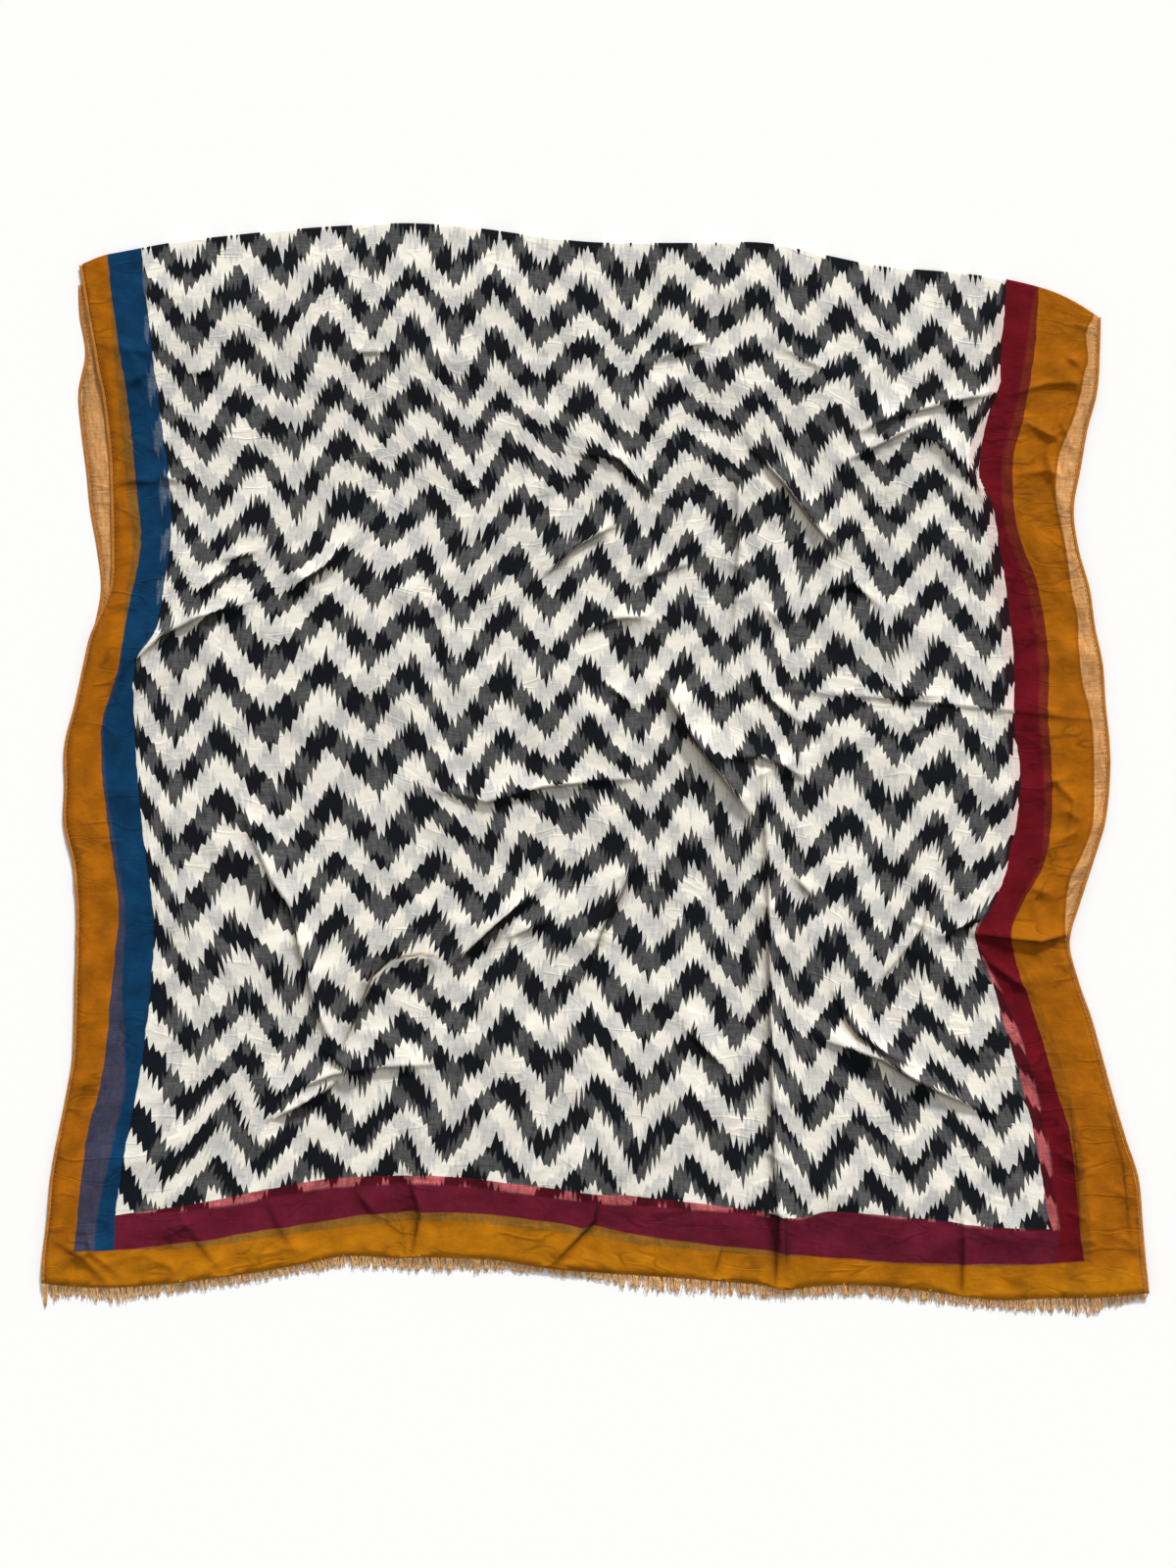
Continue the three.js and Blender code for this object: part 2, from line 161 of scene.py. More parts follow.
fold_edge = curve(
    across=[38, 62, *range(77, 978, 60), 1017, 1037, 1057, 1080],
    down=[43, 33, 30, 19, 12, 6, 2, 0, 4, 12, 19, 20, 20, 20, 32, 44, 49, 56, 65, 72, 82, 97],
)
upper_left = curve(
    down=[43, 72, 102, 128, 153, 170, 192, 208, 242, 272, 332, 368, 390, 405, 425,
          *range(452, 1053, 40), 1080],
    across=[38, 43, 48, 53, 57, 61, 64, 66, 69, 70, 71, 70, 63, 56, 48, 42, 33,
            23, 23, 22, 31, 35, 35, 34, 33, 31, 24, 16, 9, 6, 1, 0],
)
under_left = curve(
    down=[43, *range(52, 1053, 40), 1080],
    across=[38, 37, 38, 44, 37, 40, 45, 49, 56, 60, 53, 44, 35, 25, 25, 24, 33,
            37, 37, 36, 35, 33, 26, 18, 11, 8, 3, 2],
)
upper_right = curve(
    down=[97, *range(132, 1053, 40), 1091],
    across=[1080, 1079, 1076, 1066, 1059, 1052, 1057, 1068, 1074, 1082, 1085, 1089, 1089,
            1084, 1072, 1059, 1048, 1057, 1071, 1082, 1093, 1105, 1118, 1122, 1125, 1129],
)
under_right = curve(
    down=[95, 112, 139, 153, 178, 202, 220, 241, 277, 328, 376, 402, 434, 468, 491, 514, 567,
          613, 645, 666, 693, *range(732, 1053, 40), 1091],
    across=[1073, 1065, 1067, 1063, 1058, 1051, 1043, 1036, 1033, 1043, 1050, 1056, 1057,
            1061, 1067, 1071, 1073, 1071, 1060, 1049, 1044, 1044, 1053, 1067, 1078, 1089,
            1101, 1114, 1118, 1121, 1125],
)
woven_end = curve(
    across=[0, 28, 73, 123, 173, 217, 267, 310, 361, 386, 420, 462, 497, 537, 597, 657, 707,
            737, 757, 787, 837, 897, 937, 977, 1027, 1084, 1129],
    down=[1080, 1084, 1085, 1082, 1076, 1070, 1061, 1053, 1055, 1054, 1055, 1057, 1063, 1068,
          1072, 1076, 1080, 1083, 1088, 1084, 1083, 1088, 1094, 1098, 1096, 1095, 1091],
)
fringe_end = curve(
    across=[0, 17, *range(77, 978, 60), 1027, 1060, 1097, 1131],
    down=[1110, 1097, 1102, 1092, 1084, 1073, 1065, 1069, 1070, 1071, 1078, 1090, 1093, 1098,
          1095, 1098, 1103, 1108, 1113, 1115, 1104, 1098],
)

# Creases of the upper layer. Each has the places that it runs through, its rise, the width of its
# steep and of its gentle flank, the side of the steep one (1 is the right of the run), and how far
# the cloth is tucked under itself there, from 0 to 1.
CREASES = [
    ([[634, 472], [657, 517], [692, 562], [722, 602]], 14, 5, 20, 1, 0.9),
    ([[502, 684], [477, 703], [455, 722], [422, 752]], 12, 5, 18, -1, 0.8),
    ([[735, 562], [741, 672], [744, 851], [748, 972], [752, 1032]], 8, 4, 18, 1, 0.5),
    ([[797, 832], [857, 852], [897, 877], [962, 905]], 11, 5, 18, 1, 0.7),
    ([[807, 782], [819, 807], [832, 827], [857, 844], [882, 857]], 6, 3, 14, 1, 0.6),
    ([[204, 592], [219, 632], [237, 672], [254, 697], [265, 742], [282, 802], [302, 852]],
     7, 4, 15, 1, 0.45),
    ([[237, 912], [257, 902], [287, 887], [302, 872]], 8, 4, 14, 1, 0.6),
    ([[247, 887], [297, 867], [350, 859], [397, 857]], 7, 5, 15, 1, 0.4),
    ([[307, 846], [326, 800], [339, 769], [357, 752], [387, 747], [412, 752]], 8, 4, 15, -1, 0.8),
    ([[724, 230], [757, 266], [785, 304], [809, 332]], 8, 4, 18, 1, 0.75),
    ([[257, 372], [272, 362], [292, 350], [313, 325]], 9, 5, 16, 1, 0.5),
    ([[837, 212], [857, 202], [882, 194], [942, 180]], 7, 4, 15, 1, 0.5),
    ([[892, 217], [917, 227], [957, 272]], 7, 5, 16, 1, 0.35),
    ([[547, 235], [589, 241], [602, 257], [620, 274]], 6, 4, 16, 1, 0.5),
    ([[700, 546], [732, 543], [761, 556], [777, 567]], 6, 3, 14, 1, 0.5),
    ([[402, 578], [454, 590], [510, 575], [553, 570], [605, 566]], 6, 3, 15, 1, 0.45),
    ([[949, 724], [1017, 732], [1057, 722]], 9, 5, 19, 1, 0.4),
    ([[747, 475], [857, 484], [960, 494], [1077, 507]], 3, 3, 12, 1, 0.25),
    ([[407, 372], [412, 462]], 4, 8, 18, 1, 0.1),
    ([[709, 262], [711, 330], [706, 412]], 5, 4, 16, 1, 0.35),
    ([[848, 779], [895, 720], [903, 674]], 6, 5, 17, 1, 0.3),
    ([[97, 444], [122, 422], [160, 402], [207, 389]], 6, 4, 16, 1, 0.4),
    ([[617, 144], [664, 125], [679, 122]], 6, 5, 16, 1, 0.3),
    ([[735, 1007], [752, 1010], [750, 1082]], 6, 4, 16, 1, 0.6),
    ([[376, 972], [387, 1010], [379, 1052]], 6, 6, 18, 1, 0.5),
    ([[138, 1007], [162, 1040], [187, 1071]], 3, 3, 24, 1, 0.06),
    ([[230, 994], [240, 1017], [260, 1050]], 3, 3, 20, 1, 0.06),
    ([[185, 344], [219, 335]], 3, 3, 10, 1, 0.4),
    ([[162, 377], [179, 362], [197, 355]], 3.5, 3, 10, 1, 0.4),
    ([[157, 412], [172, 399], [207, 389]], 3.5, 3, 10, 1, 0.4),
    ([[755, 127], [782, 142], [797, 150]], 3.5, 3, 10, 1, 0.3),
    ([[907, 184], [942, 180], [972, 174]], 3.5, 3, 10, 1, 0.4),
    ([[822, 242], [852, 227], [902, 202]], 4, 3, 12, 1, 0.4),
    ([[512, 360], [541, 332], [584, 308]], 6, 3, 14, 1, 0.55),
    ([[612, 362], [662, 347]], 3.5, 3, 11, 1, 0.3),
    ([[550, 418], [584, 404], [617, 401]], 4.5, 3, 11, 1, 0.5),
    ([[577, 472], [602, 490]], 3.5, 3, 10, 1, 0.4),
    ([[727, 462], [737, 482], [777, 512]], 4, 3, 12, 1, 0.4),
    ([[740, 394], [757, 412]], 3, 3, 10, 1, 0.3),
    ([[799, 375], [828, 368], [852, 389]], 4.5, 3, 11, 1, 0.5),
    ([[152, 153], [179, 153]], 2.5, 2.5, 9, 1, 0.3),
    ([[117, 259], [157, 264]], 2.5, 2.5, 9, 1, 0.3),
    ([[317, 132], [357, 132]], 2.5, 2.5, 9, 1, 0.3),
    ([[430, 271], [452, 271]], 2.5, 2.5, 9, 1, 0.3),
    ([[427, 112], [435, 94]], 2.5, 2.5, 9, 1, 0.3),
    ([[857, 482], [917, 482]], 3, 2.5, 9, 1, 0.3),
    ([[887, 517], [917, 510]], 3, 2.5, 9, 1, 0.3),
    ([[477, 727], [502, 717], [517, 712]], 4, 3, 11, 1, 0.4),
    ([[606, 640], [590, 682], [570, 720], [553, 766]], 6, 3, 14, -1, 0.6),
    ([[657, 822], [692, 857]], 3.5, 2.5, 10, 1, 0.5),
    ([[769, 667], [787, 687]], 4, 3, 11, 1, 0.5),
    ([[917, 727], [957, 707]], 5, 4, 12, 1, 0.5),
    ([[877, 757], [897, 782]], 4, 4, 12, -1, 0.3),
    ([[322, 987], [342, 1012]], 4, 4, 14, 1, 0.1),
    ([[522, 1059], [562, 1017], [565, 997]], 3.5, 2.5, 12, 1, 0.6),
    ([[755, 1012], [758, 1062]], 4, 2.5, 10, -1, 0.5),
    ([[940, 1017], [940, 1092]], 4, 3, 14, 1, 0.4),
    ([[684, 1072], [692, 1042]], 3, 3, 10, 1, 0.3),
    ([[287, 840], [318, 866]], 4, 3, 9, 1, 0.4),
    ([[1045, 890], [1052, 962], [1058, 1050]], 5, 5, 14, -1, 0.5),
    ([[1084, 900], [1100, 960], [1108, 1040]], 4, 4, 10, -1, 0.4),
    ([[960, 749], [1004, 782]], 4, 3, 12, 1, 0.4),
    ([[1045, 136], [1059, 147]], 3, 3, 8, 1, 0.08),
    ([[988, 175], [1024, 164], [1070, 163]], 4, 5, 13, 1, 0.12),
    ([[1010, 207], [1027, 218], [1042, 211]], 3, 4, 9, 1, 0.1),
    ([[995, 257], [1024, 253], [1046, 262]], 3, 4, 9, 1, 0.1),
    ([[1042, 179], [1024, 239], [1040, 296], [1046, 349]], 5, 5, 14, 1, 0.08),
    ([[43, 54], [51, 75], [47, 100]], 4, 3, 8, 1, 0.2),
    ([[51, 121], [72, 127]], 2.5, 3, 8, 1, 0.1),
    ([[93, 129], [114, 136]], 2, 4, 8, 1, 0.06),
    ([[87, 167], [107, 154]], 2, 4, 8, 1, 0.06),
    ([[101, 225], [126, 238]], 2, 4, 8, 1, 0.06),
    ([[66, 267], [97, 263], [126, 265]], 3, 3, 10, 1, 0.2),
    ([[352, 990], [366, 1024], [371, 1062]], 4, 4, 14, -1, 0.25),
    ([[12, 1036], [38, 1050], [66, 1078]], 3, 3, 8, 1, 0.12),
    ([[44, 1022], [52, 1050], [84, 1076]], 2.5, 3, 8, 1, 0.1),
    ([[66, 1060], [104, 1050], [138, 1066]], 2.5, 3, 8, -1, 0.1),
    ([[1052, 186], [1040, 206], [1048, 226]], 3, 3, 8, 1, 0.14),
    ([[1030, 566], [1052, 590], [1046, 622]], 3, 3, 9, 1, 0.12),
    ([[1026, 662], [1010, 690], [1016, 716]], 3, 3, 9, -1, 0.14),
]
# What a crease does to the height, to the colour in its tuck (darker where the cloth lies under
# itself, with painted shade under the lip), to its gap (a painted shadow line), and to the print,
# which jumps across it. LEAST_FADE is what is left of its height at the ends of its run.
CREASE_LIFT = 1.2
CREST = 2.2
FLANK_FALL = 0.62
LIP = 1.5
TUCK_REACH = 11.0
GAP_AT = 1.8
GAP_WIDE = 1.7
GAP_STRENGTH = 1.4
JUMP = 9.0
JUMP_REACH = 24.0
LEAST_FADE = 0.35
RUN_END = 0.02
# Small folds all over: slant, spacing, height and seed of each family. The two offsets called AWAY
# keep places above 0.
CRUMPLES = [(0.5, 110.0, 3.0, 5), (-0.35, 140.0, 3.2, 8), (1.3, 100.0, 2.4, 3)]
CRUMPLE_CLOSER = 2.4
CRUMPLE_SHARP = 6.5
CRUMPLE_MEAN = 2.3
CRUMPLE_AWAY = 1200.0
FIELD_SIZE = 90
FIELD_AWAY = 100.0

# How the rumpled cloth shifts the print: where each column of the zigzag has its low points, every
# second band from the fold (bands 0, 2, ... 14, 15).
BANDS = [0, 2, 4, 6, 8, 10, 12, 14, 15]
ZIGZAG_ACROSS = [
    [149, 160, 172, 147, 135, 138, 159, 149, 124],
    [244, 254, 265, 237, 234, 247, 255, 229, 226],
    [338, 343, 357, 336, 335, 349, 332, 327, 329],
    [423, 431, 447, 424, 429, 447, 421, 420, 409],
    [511, 515, 540, 515, 520, 537, 517, 515, 516],
    [600, 594, 620, 605, 612, 625, 614, 614, 610],
    [688, 684, 707, 697, 697, 709, 707, 714, 714],
    [772, 770, 785, 773, 774, 770, 769, 790, 797],
    [860, 860, 865, 869, 872, 862, 852, 885, 895],
    [952, 949, 955, 962, 967, 939, 945, 979, 987],
]
ZIGZAG_DOWN = [
    [69, 190, 302, 399, 530, 661, 790, 915, 982],
    [70, 182, 305, 407, 534, 662, 802, 915, 972],
    [55, 165, 274, 397, 522, 652, 770, 882, 947],
    [70, 184, 297, 412, 539, 660, 770, 882, 955],
    [72, 190, 287, 404, 524, 632, 757, 889, 959],
    [87, 190, 287, 404, 522, 632, 772, 902, 977],
    [70, 180, 274, 392, 512, 652, 777, 912, 979],
    [100, 190, 312, 437, 550, 665, 795, 922, 990],
    [110, 219, 324, 445, 557, 690, 810, 922, 987],
    [122, 224, 325, 444, 569, 687, 812, 935, 997],
]
FOLD_BAND = {"across": [60, 1060], "band": [-0.85, -1.15]}
FIRST_COLUMN = 0.5
COLUMN_PITCH = 89.0
BAND_PITCH = 62.0

# Side strips of the print, as places on the zigzag's scale, and the lines down the cloth that they
# and the zigzag's columns follow.
BLUE_FROM = -0.4
BLUE_TO = 0.0
WINE_FROM = 9.83
WINE_TO = 10.23
guides = {
    BLUE_FROM: curve(
        down=[34, 86, 131, 182, 262, 332, 399, 458, 504, 554, 617, 699, 767, 876, 927, 1011,
              1047],
        across=[67, 74, 80, 88, 96, 101, 87, 79, 63, 61, 68, 79, 73, 61, 47, 37, 34],
    ),
    BLUE_TO: curve(
        down=[30, 92, 172, 243, 262, 317, 362, 412, 444, 492, 586, 708, 767, 859, 935, 1011],
        across=[102, 109, 118, 128, 130, 132, 126, 117, 97, 94, 100, 115, 113, 102, 87, 75],
    ),
    WINE_FROM: curve(
        down=[57, 132, 172, 212, 252, 292, 352, 412, 452, 512, 572, 661, 699, 724, 750, 821,
              914, 1023],
        across=[984, 978, 975, 960, 954, 969, 980, 988, 991, 991, 997, 983, 966, 952, 958,
                983, 1008, 1027],
    ),
    WINE_TO: curve(
        down=[65, 129, 201, 241, 308, 371, 452, 501, 556, 602, 654, 682, 724, 754, 851, 948,
              1058],
        across=[1017, 1012, 1000, 990, 992, 1015, 1027, 1025, 1029, 1029, 1021, 1004, 987, 994,
                1025, 1048, 1063],
    ),
}
for k, (down, across) in enumerate(zip(ZIGZAG_DOWN, ZIGZAG_ACROSS)):
    guides[FIRST_COLUMN + k] = curve(down=down, across=across)
guides = dict(sorted(guides.items()))
# Band along the cut end: its inner edge and its outer edge.
end_band_from = curve(
    across=[75, 167, 252, 315, 399, 483, 557, 621, 722, 773, 806, 916, 983, 1027],
    down=[1011, 998, 981, 973, 971, 979, 989, 994, 1006, 1013, 1007, 1017, 1024, 1025],
)
end_band_to = curve(
    across=[68, 125, 193, 277, 336, 399, 483, 557, 621, 722, 789, 916, 1000, 1063],
    down=[1047, 1042, 1032, 1019, 1011, 1007, 1013, 1023, 1034, 1046, 1053, 1061, 1061, 1058],
)
# How far the lower layer's print lies from the upper one's: along its left and its right strip,
# and at the cut end.
under_shift_left = curve(
    down=[43, 132, 212, 292, 372, 412, 572, 772, 912, 1012],
    across=[0, -6, -10, -10, -6, 0, 3, 10, 28, 20],
)
under_shift_middle = curve(
    down=[43, 792, 872, 932, 1062],
    across=[0, 0, 10, 20, 20],
)
under_shift_right = curve(
    down=[57, 112, 172, 272, 472, 572, 642, 722, 822, 972, 1062],
    across=[-3, -8, -9, -11, -10, -8, -5, 0, 12, 12, 8],
)
under_shift_end = curve(
    across=[75, 187, 317, 597, 737, 807, 857, 1000],
    down=[0, 8, 9, 9, 4, 0, 2, 2],
)
UNDER_PHASE = -2.07
UNDER_PHASE_EASE = 120.0
# Small uneven shifts of the print inside the zigzag field.
PRINT_SHIFT = 8.0
PRINT_SHIFT_EASE = 90.0
PRINT_SHIFT_SPACING = (74.0, 63.0)
UPPER_SEED = 41
UNDER_SEED = 47
# The sides' own shifts hold out to these places and fade away over the reach beyond them.
SIDE_SHIFT_LEFT = 130.0
SIDE_SHIFT_RIGHT = 955.0
SIDE_SHIFT_REACH = 160.0

# The zigzag, in bands, and how far its edges drift and those of the strips wander.
ZIGZAG_HIGH = 0.92
ZIGZAG_START = 0.4
PEAK_ROUND = 0.07
DRIFT = 0.24
DRIFT_SCALE = 0.9
SIDE_WANDER = 0.03
END_WANDER = 0.08
WANDER_SCALE = 2.3
# Its feathered edges: teeth a column, their slip from one edge to the next, their unevenness, and
# their length in bands, of which each has the least share and some of the rest.
TEETH = 16.6
TEETH_SLIP = 0.37
TEETH_UNEVEN = 2.6
UNEVEN_SCALE = 2.9
TOOTH = 0.145
TOOTH_LEAST = 0.25
TOOTH_REST = 0.85
NOTCH_AWAY = 100.5
# Softness of a print's edges in bands, for the layer's own print and for the one below.
OWN_SOFT = 0.008
OTHER_SOFT = 0.040

# The cloth's unevenness, in steps a millimetre: threads, thin places, blotches, stains and ripples.
WEFT_THICK = (0.05, 0.9, 0.0)
THIN_PLACES = (0.30, 0.07, 0.0)
WARP_THICK = (0.8, 0.04, 0.0)
BLOTCHES = 0.018
STAINS = 0.035
RIPPLES = 0.06
RIPPLE_HIGH = 3.2

# Fine crinkles: the slant of each family and how far its random field is moved, the field's steps a
# millimetre, its values at the lip with painted shade and at the crest with painted highlight, and
# the places where they show.
CRINKLE_RUNS = [(0.6, 0.0), (-0.75, 37.0)]
CRINKLE_SCALE = (0.014, 0.040, 1.0)
CRINKLE_LIP = -0.012
CRINKLE_CREST = 0.030
CRINKLE_WIDE = 0.034
CRINKLE_PLACES = 0.016
CRINKLE_SHOWN = (0.47, 0.64)
# How much painted shade darkens a lip on the zigzag field and on a strip, how much painted highlight
# lightens a crest, and how far a crest lifts the cloth's bump.
CRINKLE_PAINTED_SHADE = (0.07, 0.32)
CRINKLE_PAINTED_HIGHLIGHT = 0.06
CRINKLE_LIFT = 0.6

# Colours as light reflectances. A colour's passing shares say how much of the layer below it shows.
CREAM = (0.86, 0.82, 0.72)
BLACK = (0.006, 0.0075, 0.010)
OCHRE = (0.385, 0.118, 0.002)
END_OCHRE = (0.50, 0.178, 0.003)
BLUE = (0.003, 0.041, 0.108)
WINE = (0.138, 0.004, 0.010)
FLOOR_WHITE = (0.97, 0.97, 0.97)
# Share of the layer below that shows: first over the zigzag field, then over a plain strip.
PASS_CREAM = ((0.28, 0.265, 0.215), (0.14, 0.23, 0.20))
PASS_BLACK = ((0.090, 0.093, 0.103), (0.10, 0.10, 0.10))
PASS_OCHRE = ((0.45, 0.24, 0.12), (0.40, 0.24, 0.12))
PASS_BLUE = ((0.09, 0.10, 0.11), (0.13, 0.12, 0.22))
PASS_WINE = ((0.48, 0.13, 0.15), (0.08, 0.13, 0.14))
# What tints the colour: a lower layer's blue through the field, a tuck (darker where cloth lies under
# itself, with painted shade under the lip), and a painted shadow line in the gap under a lip.
WHITE = (1, 1, 1)
VEILED = (0.5, 0.3, 0.3)
TUCK_LAYERS_AND_SHADE = (0.55, 0.47, 0.37)
GAP_SHADOW_PAINT = (0.10, 0.09, 0.08)
# How much the hem of the layer below darkens the cloth over it.
HEM_SHADE = 0.16
# The plain pieces' light and deep tones.
HEM_TONES = ((0.52, 0.20, 0.02), (0.38, 0.12, 0.006))
STITCH_TONES = ((0.45, 0.16, 0.012), (0.34, 0.10, 0.006))
FRINGE_TONES = ((1.0, 0.66, 0.31), (0.95, 0.47, 0.14))

# Floor, light and camera, in metres and degrees. Azimuth 180 shines from the far, folded end.
FLOOR_SIZE = 9.0
FLOOR_LOW = -0.0003
SKY_STRENGTH = 0.46
SUN_STRENGTH = 3.75
SUN_WIDE = 8.0
SUN_AZIMUTH = 165.0
SUN_ELEVATION = 28.0
SUN_COLOUR = (1.0, 0.995, 0.985)
CAMERA_AT = (-0.0075, -0.015, 3.2)
CAMERA_SENSOR = 36.0
VIEW_TALL = 1.6
VIEW_FAR = 20.0


def points(across, down, z):
    """Metres in the part's frame from millimetres across, down and up."""
    across, down, z = np.broadcast_arrays(across, down, z)
    return np.stack([across - SPREAD_WIDTH / 2, SPREAD_DEPTH / 2 - down, z], axis=-1) * MM


def cover(left, right, across, down):
    """How far places lie inside a layer's two side outlines."""
    return np.minimum(across - left(down), right(down) - across)


def nearest_on(spots, side, across, down):
    """The nearest point of a crease's run, for each place: its distance, the same with a sign that
    is above 0 on the steep side, its share of the run, and the direction to the steep side."""
    best = [np.full_like(across, FAR)] + [np.zeros_like(across) for _ in range(4)]
    for i in range(len(spots) - 1):
        (ax, ay), (bx, by) = spots[i], spots[i + 1]
        dx, dy = bx - ax, by - ay
        length = math.hypot(dx, dy)
        t = np.clip(((across - ax) * dx + (down - ay) * dy) / length ** 2, 0, 1)
        gap_a, gap_d = across - ax - dx * t, down - ay - dy * t
        gap = np.hypot(gap_a, gap_d)
        signed = gap * np.sign(dx * gap_d - dy * gap_a) * side
        share = (i + t) / (len(spots) - 1)
        found = (gap, signed, share, -dy / length * side, dx / length * side)
        closer = gap < best[0]
        best = [np.where(closer, new, old) for new, old in zip(found, best)]
    return best


def crease_fields(across, down):
    """What all creases do at the given places: rise, the tuck's tint (darker where cloth lies under
    itself, with painted shade under the lip), a painted shadow line in the gap under a lip, how far
    the print jumps (across, down) where cloth is hidden in a tuck, and the distance to the nearest."""
    rise, tuck_layers_and_shade, gap_shadow_line, jump_a, jump_d = (np.zeros_like(across) for _ in range(5))
    nearest_of_all = np.full_like(across, FAR)
    for spots, top, steep, gentle, side, tucked in CREASES:
        nearest, signed, share, normal_a, normal_d = nearest_on(spots, side, across, down)
        fade = mix(LEAST_FADE, 1, np.sin(np.pi * share))
        within = np.sin(np.pi * np.clip(share, RUN_END, 1 - RUN_END)) ** 0.5
        on_steep = signed > 0
        fall = FLANK_FALL * np.where(on_steep, steep, gentle)
        off_crest = np.sqrt(nearest ** 2 + CREST ** 2) - CREST
        rise += CREASE_LIFT * top * fade * np.exp(-off_crest / fall)
        # Tuck tint, on the steep side only: partly more cloth layered under itself, partly painted
        # shade under the lip.
        band = ease(nearest / LIP) * (1 - ease((nearest - LIP) / TUCK_REACH))
        tuck_layers_and_shade = np.maximum(tuck_layers_and_shade, np.where(on_steep, tucked * within * band, 0))
        # A painted shadow line in the gap under the lip, on the steep side.
        line = np.exp(-((signed - GAP_AT) / GAP_WIDE) ** 2)
        line *= min(1, GAP_STRENGTH * tucked) * within * (share > 0) * (share < 1)
        gap_shadow_line = np.maximum(gap_shadow_line, line)
        jump = JUMP * tucked * within * np.tanh(signed / LIP) * np.exp(-nearest / JUMP_REACH)
        jump_a += jump * normal_a
        jump_d += jump * normal_d
        nearest_of_all = np.minimum(nearest_of_all, nearest)
    return rise, tuck_layers_and_shade, gap_shadow_line, jump_a, jump_d, nearest_of_all


def uneven_field(across, down, spacing, seed):
    """Smooth random heights from -1 to 1, a new value every spacing millimetres."""
    values = np.random.default_rng(seed).uniform(-1, 1, (FIELD_SIZE, FIELD_SIZE))
    x, y = (across + FIELD_AWAY) / spacing, (down + FIELD_AWAY) / spacing
    i, j = x.astype(int) % (FIELD_SIZE - 2), y.astype(int) % (FIELD_SIZE - 2)
    tx, ty = ease(x - np.floor(x)), ease(y - np.floor(y))
    low = mix(values[i, j], values[i + 1, j], tx)
    high = mix(values[i, j + 1], values[i + 1, j + 1], tx)
    return mix(low, high, ty)


def crumple(across, down):
    """Small soft folds all over: ridges where a slanted random field crosses zero."""
    height = np.zeros_like(across)
    for slant, spacing, top, seed in CRUMPLES:
        a = across * math.cos(slant) + down * math.sin(slant) + CRUMPLE_AWAY
        d = down * math.cos(slant) - across * math.sin(slant) + CRUMPLE_AWAY
        field = uneven_field(a, d * CRUMPLE_CLOSER, spacing, seed)
        height += top * np.exp(-np.abs(field) * CRUMPLE_SHARP)
    return height


def rumple(across, down):
    """Height of the upper layer above its resting height."""
    swell = SWELL_MIDDLE + sum(share * np.sin(across / wide + down / long + phase)
                               for share, wide, long, phase in SWELL_WAVES)
    free = SWELL * swell + crease_fields(across, down)[0] + crumple(across, down) - CRUMPLE_MEAN
    above_zero = 0.5 * (free + np.sqrt(free * free + 1))
    near_fold = ease((down - fold_edge(across) - FOLD_RADIUS) / FOLD_EASE)
    from_edge = np.minimum(cover(upper_left, upper_right, across, down), woven_end(across) - down)
    return above_zero * near_fold * mix(EDGE_SHARE, 1, ease(from_edge / EDGE_EASE))


def side_of(outline, fold_at, end_at, inward):
    """Run down one side of a layer, a hem's width inside its outline."""
    def at(v):
        down = mix(fold_edge(fold_at), woven_end(end_at) - PANEL_END, v)
        return outline(down) + inward * INSET, down

    return at


left_side = side_of(upper_left, FOLD_FROM, END_FROM, 1)
right_side = side_of(upper_right, FOLD_TO, END_TO, -1)
under_left_side = side_of(under_left, FOLD_FROM, END_FROM, 1)


def under_right_side(v):
    across, down = side_of(under_right, FOLD_TO, UNDER_END_TO, -1)(v)
    return mix(FOLD_TO, across, ease((down - fold_edge(FOLD_TO)) / UNDER_RIGHT_EASE)), down


def patch(u, v, left, right, end_to):
    """Place in a layer from its share across and its share down, fitted between its edges."""
    at_fold, at_end = mix(FOLD_FROM, FOLD_TO, u), mix(END_FROM, end_to, u)
    fold_side = (at_fold, fold_edge(at_fold))
    end_side = (at_end, woven_end(at_end) - PANEL_END)
    place = []
    for axis in (0, 1):
        sides = mix(left(v)[axis], right(v)[axis], u)
        ends = mix(fold_side[axis], end_side[axis], v)
        top = mix(left(0.0)[axis], right(0.0)[axis], u)
        low = mix(left(1.0)[axis], right(1.0)[axis], u)
        place.append(sides + ends - mix(top, low, v))
    return place


def upper_place(u, v):
    return patch(u, v, left_side, right_side, END_TO)


def under_place(u, v):
    return patch(u, v, under_left_side, under_right_side, UNDER_END_TO)


def column_at(across, down):
    """Place on the zigzag's scale across the cloth: whole at its peaks, half-way at its lows."""
    places = list(guides)
    lines = [line(down) for line in guides.values()]
    column = BLUE_FROM + (across - lines[0]) / COLUMN_PITCH
    for i in range(len(lines) - 1):
        share = (across - lines[i]) / (lines[i + 1] - lines[i])
        column = np.where(across >= lines[i], mix(places[i], places[i + 1], share), column)
    beyond = WINE_TO + (across - lines[-1]) / COLUMN_PITCH
    return np.where(across >= lines[-1], beyond, column)


def fold_band(across):
    """Place on the zigzag's scale down the cloth, at the fold."""
    return np.interp(across, *FOLD_BAND.values())


def band_at(across, down, column):
    """Place on the zigzag's scale down the cloth, one band of dark and light to a step."""
    top = fold_edge(across)
    tables = []
    for spots in ZIGZAG_DOWN:
        before = mix(fold_band(across), BANDS[0], (down - top) / (spots[0] - top))
        past = BANDS[-1] + (down - spots[-1]) / BAND_PITCH
        table = np.where(down > spots[-1], past, np.interp(down, spots, BANDS))
        tables.append(np.where(down < spots[0], before, table))
    tables = np.array(tables)
    at = np.clip(column - FIRST_COLUMN, 0, len(tables) - 1.001)
    i = at.astype(int)
    share = (at - i + ease(at - i)) / 2
    spot = np.arange(len(across))
    return mix(tables[i, spot], tables[i + 1, spot], share)


